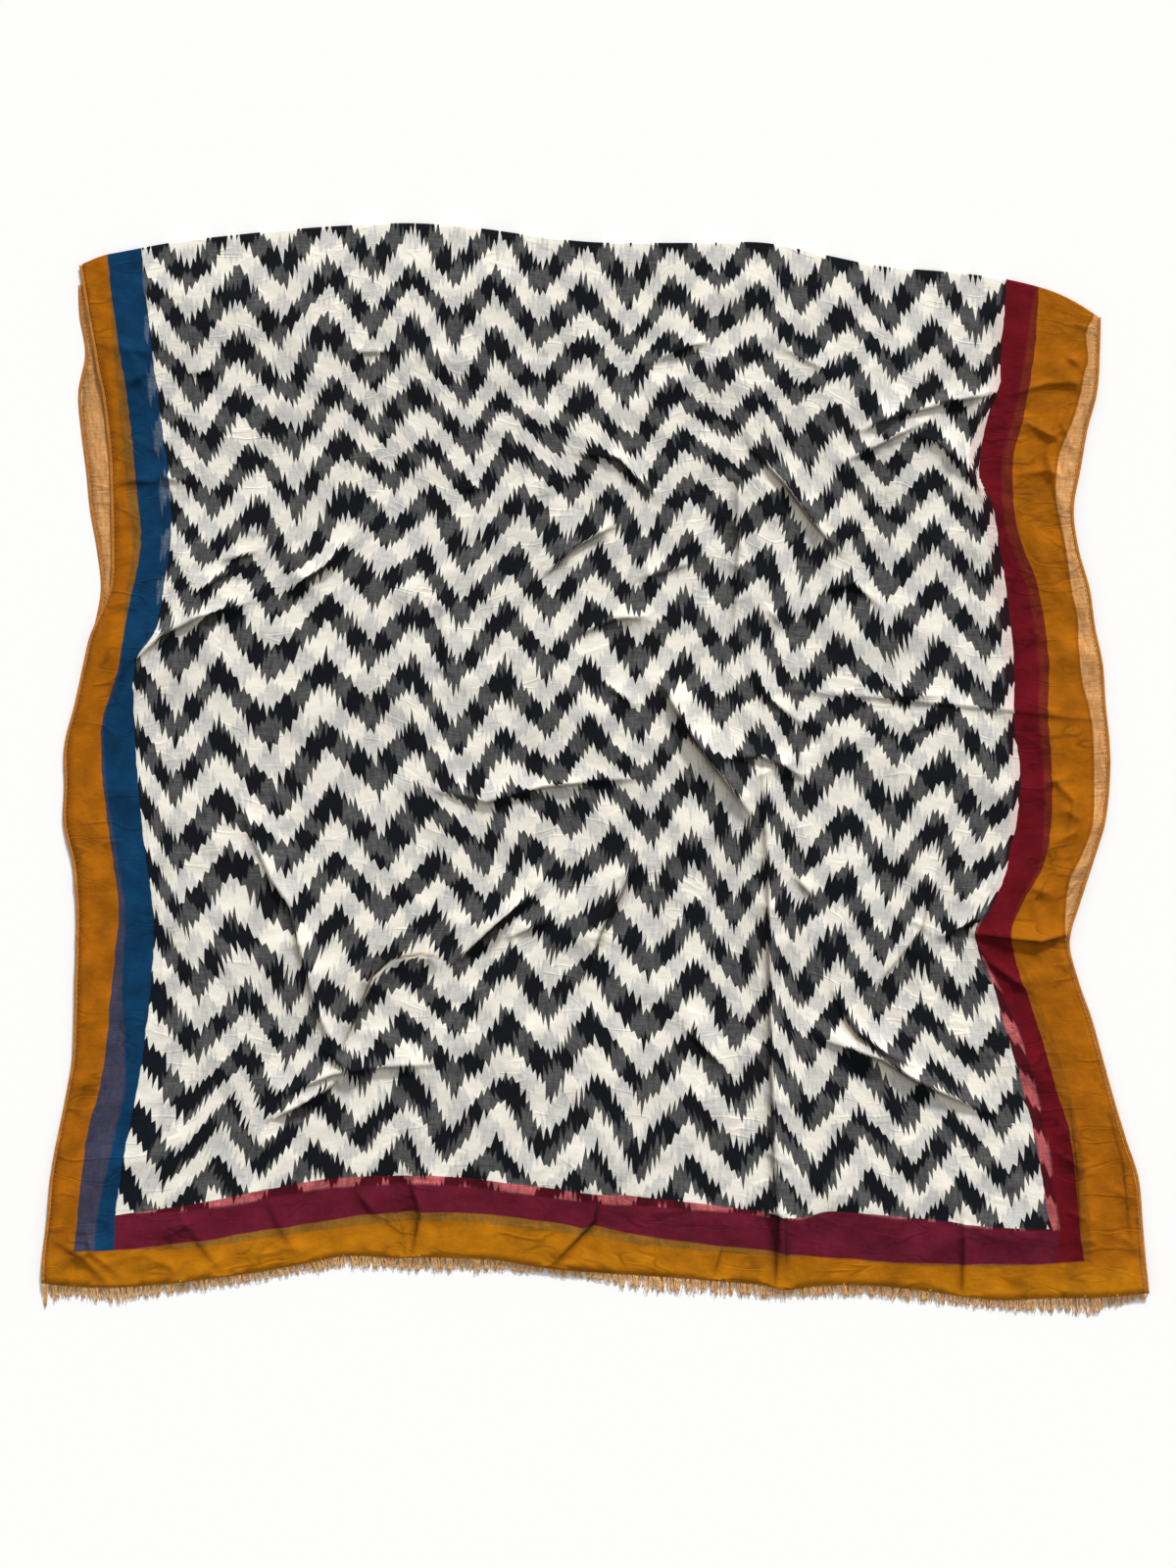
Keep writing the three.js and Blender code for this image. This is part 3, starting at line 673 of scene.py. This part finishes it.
def end_share(across, down, shift):
    """0 at the inner edge of the end band and 1 at its outer edge."""
    low, high = end_band_from(across) + shift, end_band_to(across) + shift
    return (down - low) / (high - low)


def shifted(across, down, seed):
    """Places moved a little, unevenly, as small folds shift the print of a rumpled cloth."""
    within = np.minimum(across - SIDE_SHIFT_LEFT, SIDE_SHIFT_RIGHT - across)
    within = np.minimum(within, np.minimum(down - fold_edge(across), end_band_from(across) - down))
    share = PRINT_SHIFT * ease(within / PRINT_SHIFT_EASE)
    moves = [share * uneven_field(across, down, spacing, seed + k)
             for k, spacing in enumerate(PRINT_SHIFT_SPACING)]
    return across + moves[0], down + moves[1]


def upper_print(across, down):
    """Place in the upper layer's print: its column, its band and its share of the end band."""
    across, down = shifted(across, down, UPPER_SEED)
    column = column_at(across, down)
    return np.stack([column, band_at(across, down, column), end_share(across, down, 0)], axis=-1)


def under_print(across, down):
    """The same for the lower layer, where the print runs the other way from the fold."""
    from_left = ease((across - SIDE_SHIFT_LEFT) / SIDE_SHIFT_REACH)
    from_right = ease((SIDE_SHIFT_RIGHT - across) / SIDE_SHIFT_REACH)
    shift = mix(under_shift_left(down), under_shift_middle(down), from_left)
    shift = mix(under_shift_right(down), shift, from_right)
    moved, low = shifted(across - shift, down, UNDER_SEED)
    column = column_at(moved, low)
    away = ease((down - fold_edge(across)) / UNDER_PHASE_EASE)
    turned = mix(2 * fold_band(across), UNDER_PHASE, away) - band_at(moved, low, column)
    return np.stack([column, turned, end_share(across, down, under_shift_end(across))], axis=-1)


def link(name, vertices, faces):
    mesh = bpy.data.meshes.new(name)
    mesh.from_pydata(vertices, [], faces)
    mesh.polygons.foreach_set("use_smooth", [True] * len(mesh.polygons))
    mesh.update()
    piece = bpy.data.objects.new(name, mesh)
    bpy.context.scene.collection.objects.link(piece)
    return piece


def set_values(piece, name, values):
    """Store a number or a vector at each point of the outer face, and the same at the inner one."""
    values = np.concatenate([values, values]).astype(np.float32)
    kind, slot = ("FLOAT", "value") if values.ndim == 1 else ("FLOAT_VECTOR", "vector")
    layer = piece.data.attributes.new(name, kind, "POINT")
    layer.data.foreach_set(slot, values.ravel())


def tube(first, rings, sides):
    """Faces of a closed tube whose rings of corners follow one another from the corner first."""
    faces = []
    for ring in range(rings - 1):
        for k in range(sides):
            a, b = first + ring * sides + k, first + ring * sides + (k + 1) % sides
            faces.append((a, b, b + sides, a + sides))
    last = first + (rings - 1) * sides
    faces.append(tuple(range(first + sides - 1, first - 1, -1)))
    faces.append(tuple(range(last, last + sides)))
    return faces


def cloth_grid():
    """Grid over both layers: x is the share across, y runs from -2 at the lower layer's end over
    the fold (-1 to 0) to 1 at the upper layer's end. It is finer along the creases."""
    rows = np.concatenate([
        np.linspace(-2, -1, ROWS_UNDER + 1)[:-1],
        np.linspace(-1, 0, ROWS_FOLD + 1)[:-1],
        np.linspace(0, 1, ROWS_UPPER + 1),
    ])
    grid = bmesh.new()
    lines = [[grid.verts.new((c / COLUMNS, w, 0)) for c in range(COLUMNS + 1)] for w in rows]
    for low, high in zip(lines, lines[1:]):
        for c in range(COLUMNS):
            grid.faces.new((low[c], low[c + 1], high[c + 1], high[c]))
    for within in FINER_WITHIN:
        middles = np.array([f.calc_center_median()[:2] for f in grid.faces])
        places = upper_place(middles[:, 0], middles[:, 1])
        nearness = crease_fields(places[0], places[1])[-1]
        chosen = (nearness < within) & (middles[:, 1] > 0)
        edges = {e for f, near in zip(grid.faces, chosen) if near for e in f.edges}
        bmesh.ops.subdivide_edges(grid, edges=list(edges), cuts=1, use_grid_fill=True)
    bmesh.ops.triangulate(grid, faces=grid.faces[:])
    grid.verts.index_update()
    spots = np.array([v.co[:2] for v in grid.verts])
    faces = [tuple(v.index for v in f.verts) for f in grid.faces]
    rim = []
    for e in grid.edges:
        if len(e.link_faces) == 1:
            loop = next(x for x in e.link_faces[0].loops if x.edge == e)
            rim.append((loop.vert.index, loop.link_loop_next.vert.index))
    grid.free()
    return spots, faces, rim


def make_cloth():
    """One closed shell over both layers and the fold, its places in the prints as attributes."""
    spots, faces, rim = cloth_grid()
    u, w = spots[:, 0], spots[:, 1]
    count = len(u)
    top_a, top_d = upper_place(u, np.clip(w, 0, 1))
    top_d = np.maximum(top_d, fold_edge(top_a) + FOLD_RADIUS)
    low_a, low_d = under_place(u, np.clip(-1 - w, 0, 1))
    low_d = np.maximum(low_d, fold_edge(low_a) + FOLD_RADIUS)
    turn = np.pi * (0.5 + np.clip(w, -1, 0))
    fold_a = mix(FOLD_FROM, FOLD_TO, u)
    fold_d = fold_edge(fold_a) + FOLD_RADIUS
    _, tuck_layers_and_shade, gap, jump_a, jump_d, _ = crease_fields(top_a, top_d)
    upper, lower = w > 0, w < -1
    on_fold = ~upper & ~lower
    across = np.where(upper, top_a, np.where(lower, low_a, fold_a))
    down = np.where(upper, top_d, np.where(lower, low_d, fold_d))

    def surface(radius, top_z, low_z):
        d = np.where(on_fold, fold_d - radius * np.cos(turn), down)
        z = np.where(upper, top_z, np.where(lower, low_z, FOLD_RADIUS + radius * np.sin(turn)))
        return points(across, d, z)

    top = UPPER_REST + WALL + rumple(top_a, top_d)
    outer = surface(FOLD_RADIUS, top, np.zeros(count))
    inner = surface(FOLD_RADIUS - WALL_SHOWN, top - WALL_SHOWN, np.full(count, WALL_SHOWN))
    solid = list(faces) + [(c + count, b + count, a + count) for a, b, c in faces]
    solid += [(b, a, a + count, b + count) for a, b in rim]
    piece = link("cloth", np.concatenate([outer, inner]).tolist(), solid)
    shown = bmesh.new()
    shown.from_mesh(piece.data)
    if shown.calc_volume(signed=True) < 0:
        bmesh.ops.reverse_faces(shown, faces=shown.faces[:])
        shown.to_mesh(piece.data)
    shown.free()
    jump_a, jump_d = np.where(upper, jump_a, 0), np.where(upper, jump_d, 0)
    above, below = upper_print(across + jump_a, down + jump_d), under_print(across, down)
    is_under = w < -0.5
    set_values(piece, "own_print", np.where(is_under[:, None], below, above))
    set_values(piece, "other_print", np.where(is_under[:, None], above, below))
    set_values(piece, "cover", np.where(is_under, cover(upper_left, upper_right, across, down),
                                        cover(under_left, under_right, across, down)))
    set_values(piece, "tuck_layers_and_shade", np.where(upper, tuck_layers_and_shade, 0))
    set_values(piece, "gap", np.where(upper, gap, 0))
    return piece


def make_hem(name, run, outward, base):
    """Rolled hem along a run of places, its inner side a seam away from the cloth."""
    across, down = run
    corners = np.stack([
        points(across + outward * (SEAM + w * HEM_WIDTH), down, base + t * HEM_SHOWN)
        for w, t in HEM_SECTION
    ], axis=1)
    return link(name, corners.reshape(-1, 3).tolist(), tube(0, len(across), len(HEM_SECTION)))


def make_stitches(name, runs):
    """Running stitches just inside each hem: short dashes of thread that sit on the cloth."""
    vertices, faces = [], []
    lifts = np.array([STITCH_END_LIFT, STITCH_LIFT, STITCH_END_LIFT])
    for (across, down), inward, base in runs:
        lengths = np.concatenate([[0], np.cumsum(np.hypot(np.diff(across), np.diff(down)))])
        for start in np.arange(STITCH_STOP, lengths[-1] - STITCH_STOP, STITCH + STITCH_SPACE):
            at = np.array([start, start + STITCH / 2, start + STITCH])
            a = np.interp(at, lengths, across) + inward * STITCH_INSIDE
            d = np.interp(at, lengths, down)
            z = np.interp(at, lengths, base) + lifts
            faces += tube(len(vertices), 3, 3)
            for i in range(3):
                for off_a, off_z in ((-STITCH_RADIUS, 0), (STITCH_RADIUS, 0), (0, STITCH_RADIUS)):
                    vertices.append(points(a[i] + off_a, d[i], z[i] + off_z).tolist())
    return link(name, vertices, faces)


def make_fringe(name, seed, base_of, tip_z, end_to):
    """Clumps of thin, bent threads that the loose weave leaves along the cut end."""
    rng = np.random.default_rng(seed)
    vertices, faces = [], []
    at = END_FROM - HEM_WIDTH
    while at < end_to + FRINGE_PAST:
        clump_wide = rng.uniform(*CLUMP_WIDE)
        middle = at + clump_wide / 2
        room = float(fringe_end(middle) - woven_end(middle))
        reach = room * rng.uniform(*CLUMP_REACH)
        lean = rng.normal(0, CLUMP_LEAN)
        spread = rng.uniform(*CLUMP_SPREAD)
        for _ in range(int(rng.integers(*CLUMP_THREADS))):
            root = at + rng.uniform(0, clump_wide)
            tip = middle + (root - middle) * spread + lean + rng.normal(0, TIP_STRAY)
            length = reach * rng.uniform(*THREAD_LENGTH)
            bend = rng.normal(0, THREAD_BEND)
            radius = rng.uniform(*THREAD_RADIUS)
            root_d = float(woven_end(root))
            base = float(base_of(np.array([root]), np.array([root_d]))[0])
            faces += tube(len(vertices), THREAD_STEPS + 1, 3)
            for i in range(THREAD_STEPS + 1):
                t = i / THREAD_STEPS
                a = mix(root, tip, t) + bend * math.sin(math.pi * t)
                d = root_d - FRINGE_ROOT + (FRINGE_ROOT + length) * t
                z = mix(base + FRINGE_ROOT_HEIGHT, tip_z, ease(t * THREAD_FALL))
                z += THREAD_WAVE * math.sin(THREAD_WAVES * t + root)
                r = radius * (1 - THREAD_TAPER * t)
                z = max(float(z), r + THREAD_CLEAR)
                for k in range(3):
                    angle = 2 * math.pi * k / 3 + THREAD_TURN
                    vertices.append(points(a + r * math.cos(angle), d,
                                           z + r * math.sin(angle)).tolist())
        at += clump_wide * rng.uniform(*CLUMP_STEP)
    return link(name, vertices, faces)


class Nodes:
    """Short calls for the nodes of one tree."""

    def __init__(self, tree):
        self.tree = tree

    def give(self, node, inputs):
        for key, value in dict(inputs).items():
            if isinstance(value, bpy.types.NodeSocket):
                self.tree.links.new(value, node.inputs[key])
            else:
                node.inputs[key].default_value = value
        return node

    def put(self, kind, inputs=(), **settings):
        node = self.tree.nodes.new(kind)
        for key, value in settings.items():
            setattr(node, key, value)
        return self.give(node, inputs)

    def math(self, operation, *values):
        return self.put("ShaderNodeMath", enumerate(values), operation=operation).outputs[0]

    def vector(self, operation, *values):
        return self.put("ShaderNodeVectorMath", enumerate(values), operation=operation).outputs[0]

    def plus(self, first, second):
        return self.math("ADD", first, second)

    def minus(self, first, second):
        return self.math("SUBTRACT", first, second)

    def times(self, first, *others):
        for other in others:
            first = self.math("MULTIPLY", first, other)
        return first

    def tinted(self, colour, *tints):
        for tint in tints:
            colour = self.vector("MULTIPLY", colour, tint)
        return colour

    def grey(self, value):
        return self.put("ShaderNodeCombineXYZ", {k: value for k in "XYZ"}).outputs[0]

    def triangle(self, value):
        """Triangle wave: 0 at whole numbers and 1 half-way between them."""
        doubled = self.times(self.math("FRACT", value), 2.0)
        return self.minus(1.0, self.math("ABSOLUTE", self.minus(doubled, 1.0)))

    def fit(self, value, low, high, to_low=0.0, to_high=1.0, kind="SMOOTHSTEP"):
        inputs = {"Value": value, "From Min": low, "From Max": high, "To Min": to_low,
                  "To Max": to_high}
        return self.put("ShaderNodeMapRange", inputs, interpolation_type=kind).outputs[0]

    def ramp(self, value, low, high, to_low, to_high):
        return self.fit(value, low, high, to_low, to_high, "LINEAR")

    def blend(self, share, first, second):
        node = self.put("ShaderNodeMix", {"Factor": share}, data_type="RGBA")
        given = [value if isinstance(value, bpy.types.NodeSocket) else (*value, 1.0)
                 for value in (first, second)]
        return self.give(node, {6: given[0], 7: given[1]}).outputs[2]

    def noise(self, vector, scale, detail, roughness=0.5):
        inputs = {"Vector": vector, "Scale": scale, "Detail": detail, "Roughness": roughness}
        return self.put("ShaderNodeTexNoise", inputs).outputs["Fac"]

    def random(self, first, second):
        both = self.put("ShaderNodeCombineXYZ", {"X": first, "Y": second}).outputs[0]
        return self.put("ShaderNodeTexWhiteNoise", {"Vector": both},
                        noise_dimensions="2D").outputs["Value"]

    def attribute(self, name, socket):
        return self.put("ShaderNodeAttribute", attribute_name=name,
                        attribute_type="GEOMETRY").outputs[socket]


END_SOCKETS = ("End colour", "End over field", "End over strips")


def print_group():
    """The zigzag field with its feathered edges, the side strips and the band at the cut end."""
    tree = bpy.data.node_groups.new("zigzag_print", "ShaderNodeTree")
    face = tree.interface
    face.new_socket("Place", in_out="INPUT", socket_type="NodeSocketVector")
    face.new_socket("Softness", in_out="INPUT", socket_type="NodeSocketFloat")
    for name in END_SOCKETS:
        face.new_socket(name, in_out="INPUT", socket_type="NodeSocketColor")
    for name in ("Colour", "Over field", "Over strips"):
        face.new_socket(name, in_out="OUTPUT", socket_type="NodeSocketColor")
    face.new_socket("Strip", in_out="OUTPUT", socket_type="NodeSocketFloat")
    n = Nodes(tree)
    given = n.put("NodeGroupInput").outputs
    place, soft = given["Place"], given["Softness"]
    column, band, end = n.put("ShaderNodeSeparateXYZ", {"Vector": place}).outputs
    wander = n.minus(n.noise(place, WANDER_SCALE, 1.0), 0.5)
    drift = n.minus(n.noise(place, DRIFT_SCALE, 2.0), 0.5)

    # The phase grows by 1 from one dark band to the next, and its first half is dark.
    peak = n.triangle(column)
    rounded = n.fit(peak, 0.0, 1.0, 0.0, PEAK_ROUND)
    peak = n.plus(n.times(peak, 1 - PEAK_ROUND), rounded)
    phase = n.minus(band, n.times(peak, ZIGZAG_HIGH))
    phase = n.plus(phase, ZIGZAG_START)
    phase = n.plus(phase, n.times(drift, DRIFT))

    # Each edge between dark and light has its own row of teeth and of notches between them.
    edge = n.math("ROUND", n.times(phase, 2.0))
    cell = n.plus(n.times(column, TEETH), n.times(edge, TEETH_SLIP))
    here = n.put("ShaderNodeCombineXYZ", {"X": column, "Y": edge}).outputs[0]
    uneven = n.noise(here, UNEVEN_SCALE, 1.0)
    cell = n.plus(cell, n.times(uneven, TEETH_UNEVEN))

    def drawn_length(number, least, rest):
        drawn = n.random(number, edge)
        return n.math("MULTIPLY_ADD", n.times(drawn, drawn), rest, least)

    tip = drawn_length(n.math("FLOOR", cell), TOOTH_LEAST, TOOTH_REST)
    notch = drawn_length(n.plus(n.math("ROUND", cell), NOTCH_AWAY), -TOOTH_LEAST, -TOOTH_REST)
    spike = n.math("MULTIPLY_ADD", n.triangle(cell), n.minus(tip, notch), notch)
    phase = n.math("MULTIPLY_ADD", spike, TOOTH, phase)
    wrapped = n.minus(n.math("FRACT", n.plus(phase, 0.25)), 0.25)
    from_middle = n.math("ABSOLUTE", n.minus(wrapped, 0.25))
    dark = n.fit(n.minus(0.25, from_middle), n.times(soft, -1.0), soft)

    # Each strip lies over what is painted before it.
    side = n.math("MULTIPLY_ADD", wander, SIDE_WANDER, column)
    down = n.math("MULTIPLY_ADD", wander, END_WANDER, end)
    edge_wide = n.times(soft, 0.6)

    def right_of(line):
        return n.fit(side, n.minus(line, edge_wide), n.plus(line, edge_wide))

    def left_of(line):
        return n.fit(side, n.plus(line, edge_wide), n.minus(line, edge_wide))

    in_end = n.fit(down, n.times(soft, -1.2), n.times(soft, 1.2))
    in_wine, in_blue = right_of(WINE_FROM), left_of(BLUE_TO)
    in_border = n.math("MAXIMUM", right_of(WINE_TO), left_of(BLUE_FROM))
    in_border = n.math("MAXIMUM", in_border, n.fit(down, 0.98, 1.03))
    in_end_border = n.times(n.fit(down, 0.7, 1.7), in_border)
    paints = [n.blend(dark, light, deep) for light, deep in
              zip((CREAM, *PASS_CREAM), (BLACK, *PASS_BLACK))]
    for share, *strip in (
        (in_end, *(given[k] for k in END_SOCKETS)),
        (in_wine, WINE, *PASS_WINE),
        (in_blue, BLUE, *PASS_BLUE),
        (in_border, OCHRE, *PASS_OCHRE),
        (in_end_border, END_OCHRE, *PASS_OCHRE),
    ):
        paints = [n.blend(share, before, over) for before, over in zip(paints, strip)]
    in_strip = n.math("MAXIMUM", n.math("MAXIMUM", in_end, in_wine),
                      n.math("MAXIMUM", in_blue, in_border))
    n.put("NodeGroupOutput", {"Colour": paints[0], "Over field": paints[1],
                              "Over strips": paints[2], "Strip": in_strip})
    return tree


def new_material(name):
    material = bpy.data.materials.new(name)
    material.use_nodes = True
    tree = material.node_tree
    tree.nodes.clear()
    n = Nodes(tree)
    shader = n.put("ShaderNodeBsdfPrincipled")
    n.put("ShaderNodeOutputMaterial", {"Surface": shader.outputs[0]})
    return material, n, shader


def weave_normal(n, vector, pitch, strength, extra=None):
    """Plain weave of fine threads, with softer unevenness below it."""
    waves = {"Vector": vector, "Scale": pitch, "Distortion": 0.6, "Detail": 1.0}
    warp, weft = (n.put("ShaderNodeTexWave", waves, bands_direction=way).outputs["Fac"]
                  for way in ("X", "Y"))
    height = n.times(n.plus(warp, weft), 0.12)
    if extra is not None:
        height = n.plus(height, extra)
    bump = {"Height": height, "Strength": strength, "Distance": MM}
    return n.put("ShaderNodeBump", bump).outputs[0]


def crinkles(n, threads):
    """Long fine crinkles, in some places only: masks for a lip of painted shade and a crest of
    painted highlight beside it.
    """
    lips, crests = [], []
    for turn, away in CRINKLE_RUNS:
        slanted = n.put("ShaderNodeMapping", {
            "Vector": threads, "Location": (away, away, 0), "Rotation": (0, 0, turn),
            "Scale": CRINKLE_SCALE}).outputs[0]
        field = n.minus(n.noise(slanted, 1.0, 1.5), 0.5)
        moved = n.vector("ADD", threads, (away * 9, 0, 0))
        places = n.fit(n.noise(moved, CRINKLE_PLACES, 1.0), *CRINKLE_SHOWN)
        for lines, shift in ((lips, CRINKLE_LIP), (crests, CRINKLE_CREST)):
            far = n.math("ABSOLUTE", n.plus(field, shift))
            lines.append(n.times(n.fit(far, 0.0, CRINKLE_WIDE, 1.0, 0.0), places))
    return n.math("MAXIMUM", *lips), n.math("MAXIMUM", *crests)


def cloth_material():
    """A layer's own print, with the other layer's print showing through it."""
    material, n, shader = new_material("printed_cloth")
    group = print_group()
    layers = []
    for name, soft, end_paints in (("own_print", OWN_SOFT, (WINE, *PASS_WINE)),
                                   ("other_print", OTHER_SOFT, (BLUE, *PASS_BLUE))):
        inputs = {"Place": n.attribute(name, "Vector"), "Softness": soft}
        inputs.update({k: (*paint, 1) for k, paint in zip(END_SOCKETS, end_paints)})
        layers.append(n.put("ShaderNodeGroup", inputs, node_tree=group).outputs)
    own, other = layers
    threads = n.vector("MULTIPLY", n.attribute("own_print", "Vector"),
                       (COLUMN_PITCH, BAND_PITCH, 0.0))
    inside = n.attribute("cover", "Fac")
    covered = n.fit(inside, -0.5, 0.5)
    beneath = n.blend(covered, FLOOR_WHITE, other["Colour"])

    # How much of the layer below passes, thread by thread.
    weft = n.noise(n.vector("MULTIPLY", threads, WEFT_THICK), 1.0, 3.0, 0.6)
    thin = n.noise(n.vector("MULTIPLY", threads, THIN_PLACES), 1.0, 3.0, 0.6)
    sheer = n.times(n.ramp(weft, 0.25, 0.75, 0.5, 1.5), n.ramp(thin, 0.3, 0.7, 0.55, 1.4))
    on_strip = n.times(other["Strip"], covered)
    through = n.blend(on_strip, own["Over field"], own["Over strips"])
    red, _, blue = n.put("ShaderNodeSeparateColor", {"Color": other["Colour"]}).outputs
    bluish = n.fit(n.minus(blue, red), 0.03, 0.08)
    in_field = n.minus(1.0, own["Strip"])
    veiled = n.times(bluish, on_strip, in_field)
    passing = n.tinted(through, n.blend(veiled, WHITE, VEILED), n.grey(sheer))
    kept = n.vector("MULTIPLY", own["Colour"], n.vector("SUBTRACT", WHITE, passing))
    colour = n.vector("ADD", kept, n.vector("MULTIPLY", beneath, passing))

    # Light and dark: the hem below, the threads, blotches, stains, and the crinkles' painted shade
    # and painted highlight.
    hem_below = n.times(n.fit(inside, -0.3, 0.3), n.fit(inside, 3.6, 3.0))
    warp = n.noise(n.vector("MULTIPLY", threads, WARP_THICK), 1.0, 2.0)
    blotch = n.noise(threads, BLOTCHES, 3.0, 0.55)
    stain = n.ramp(n.noise(threads, STAINS, 4.0, 0.6), 0.3, 0.7, -0.28, 0.20)
    crinkle_shade, crinkle_highlight_and_lift = crinkles(n, threads)
    shade = n.times(
        n.minus(1.0, n.times(hem_below, HEM_SHADE)),
        n.ramp(weft, 0.2, 0.8, 0.96, 1.04),
        n.ramp(warp, 0.2, 0.8, 0.97, 1.03),
        n.ramp(blotch, 0.25, 0.75, 0.95, 1.05),
        n.plus(n.times(stain, own["Strip"]), 1.0),
        # Crinkle lips get painted shade and crests a painted highlight; the crest also lifts the
        # bump.
        n.minus(1.0, n.times(crinkle_shade, n.ramp(own["Strip"], 0.0, 1.0, *CRINKLE_PAINTED_SHADE))),
        n.math("MULTIPLY_ADD", crinkle_highlight_and_lift, CRINKLE_PAINTED_HIGHLIGHT, 1.0),
    )
    # The tuck tint is partly darker layered cloth and partly painted shade under a crease's lip.
    colour = n.tinted(colour, n.grey(shade), n.blend(n.attribute("tuck_layers_and_shade", "Fac"), WHITE, TUCK_LAYERS_AND_SHADE),
                      # The gap tint is a painted shadow line under a crease's lip.
                      n.blend(n.attribute("gap", "Fac"), WHITE, GAP_SHADOW_PAINT))
    ripple = n.times(n.noise(threads, RIPPLES, 3.0), RIPPLE_HIGH)
    ripple = n.math("MULTIPLY_ADD", crinkle_highlight_and_lift, CRINKLE_LIFT, ripple)
    n.give(shader, {
        "Base Color": colour,
        "Roughness": n.ramp(weft, 0.2, 0.8, 0.78, 0.92),
        "Specular IOR Level": 0.07,
        "Sheen Weight": 0.03,
        "Sheen Roughness": 0.5,
        "Normal": weave_normal(n, threads, 0.55, 0.6, ripple),
    })
    return material


def plain_material(name, tones, scale, pitch, roughness):
    """Thread or hem of one colour that wanders between a light and a deep tone."""
    material, n, shader = new_material(name)
    metric = n.vector("SCALE", n.put("ShaderNodeTexCoord").outputs["Object"])
    metric.node.inputs["Scale"].default_value = 1 / MM
    share = n.noise(metric, scale, 4.0, 0.6)
    light, deep = tones
    n.give(shader, {
        "Base Color": n.blend(n.fit(share, 0.3, 0.7), deep, light),
        "Roughness": n.ramp(share, 0.3, 0.7, roughness - 0.06, roughness + 0.06),
        "Specular IOR Level": 0.25,
        "Sheen Weight": 0.15,
        "Normal": weave_normal(n, metric, pitch, 0.5),
    })
    return material


def make_floor():
    bpy.ops.mesh.primitive_plane_add(size=FLOOR_SIZE, location=(0, 0, FLOOR_LOW))
    plane = bpy.context.object
    plane.name = "floor"
    paint, n, shader = new_material("floor_plain")
    n.give(shader, {"Base Color": (*FLOOR_WHITE, 1), "Roughness": 0.9, "Specular IOR Level": 0.1})
    plane.data.materials.append(paint)
    return plane


def add_light():
    """An even white sky and one soft sun."""
    world = bpy.data.worlds.new("studio")
    world.use_nodes = True
    sky = world.node_tree.nodes["Background"].inputs
    sky[0].default_value = (*WHITE, 1)
    sky[1].default_value = SKY_STRENGTH
    bpy.context.scene.world = world
    sun = bpy.data.lights.new("key", "SUN")
    sun.energy = SUN_STRENGTH
    sun.angle = math.radians(SUN_WIDE)
    sun.color = SUN_COLOUR
    lamp = bpy.data.objects.new("key", sun)
    lamp.rotation_euler = (math.radians(90 - SUN_ELEVATION), 0, math.radians(SUN_AZIMUTH))
    bpy.context.scene.collection.objects.link(lamp)


def add_camera():
    """Straight above, looking down, with a lens that takes in VIEW_TALL metres at the floor."""
    lens = bpy.data.cameras.new("camera")
    lens.sensor_width = CAMERA_SENSOR
    lens.lens = CAMERA_SENSOR * CAMERA_AT[2] / VIEW_TALL
    lens.clip_end = VIEW_FAR
    camera = bpy.data.objects.new("camera", lens)
    camera.location = CAMERA_AT
    bpy.context.scene.collection.objects.link(camera)
    bpy.context.scene.camera = camera


cloth = make_cloth()

along = np.linspace(HEM_START, 1, HEM_STEPS)
hems = {}
stitch_runs = []
for which, outward, upper_side, under_side in (("left", -1, left_side, under_left_side),
                                               ("right", 1, right_side, under_right_side)):
    a, d = upper_side(along)
    lift = rumple(a, d)
    hems[f"upper_hem_{which}"] = make_hem(f"hem_upper_{which}", (a, d), outward, UPPER_REST + lift)
    stitch_runs.append(((a, d), -outward, UPPER_REST + WALL + lift))
    a, d = under_side(along)
    keep = d > fold_edge(a) + FOLD_RADIUS + UNDER_HEM_AFTER
    a, d = a[keep], d[keep]
    hems[f"under_hem_{which}"] = make_hem(f"hem_under_{which}", (a, d), outward, np.zeros(len(a)))
    stitch_runs.append(((a, d), -outward, np.full(len(a), WALL_SHOWN)))
stitches = make_stitches("hem_stitches", stitch_runs)

fringes = {
    "upper_fringe": make_fringe("fringe_upper", 11, lambda a, d: UPPER_REST + rumple(a, d),
                                UPPER_REST - CLEAR, END_TO),
    "under_fringe": make_fringe("fringe_under", 23, lambda a, d: np.full_like(a, UNDER_FRINGE_BASE),
                                WALL / 2, UNDER_END_TO),
}

cloth.data.materials.append(cloth_material())
hem_paint = plain_material("hem_cloth", HEM_TONES, scale=0.35, pitch=0.5, roughness=0.85)
for piece in hems.values():
    piece.data.materials.append(hem_paint)
stitches.data.materials.append(
    plain_material("hem_thread", STITCH_TONES, scale=0.6, pitch=1.2, roughness=0.8))
fringe_paint = plain_material("fringe_thread", FRINGE_TONES, scale=0.3, pitch=0.9, roughness=0.9)
for piece in fringes.values():
    piece.data.materials.append(fringe_paint)

floor = make_floor()
add_light()
add_camera()
bpy.context.scene.view_settings.view_transform = "Standard"
bpy.context.scene.view_settings.look = "None"

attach(cloth, "root")
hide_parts("upper_layer", "under_layer")
for node, piece in hems.items():
    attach(piece, "root")
    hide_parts(node)
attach(stitches, "root")
for node, piece in fringes.items():
    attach(piece, "root")
    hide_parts(node)
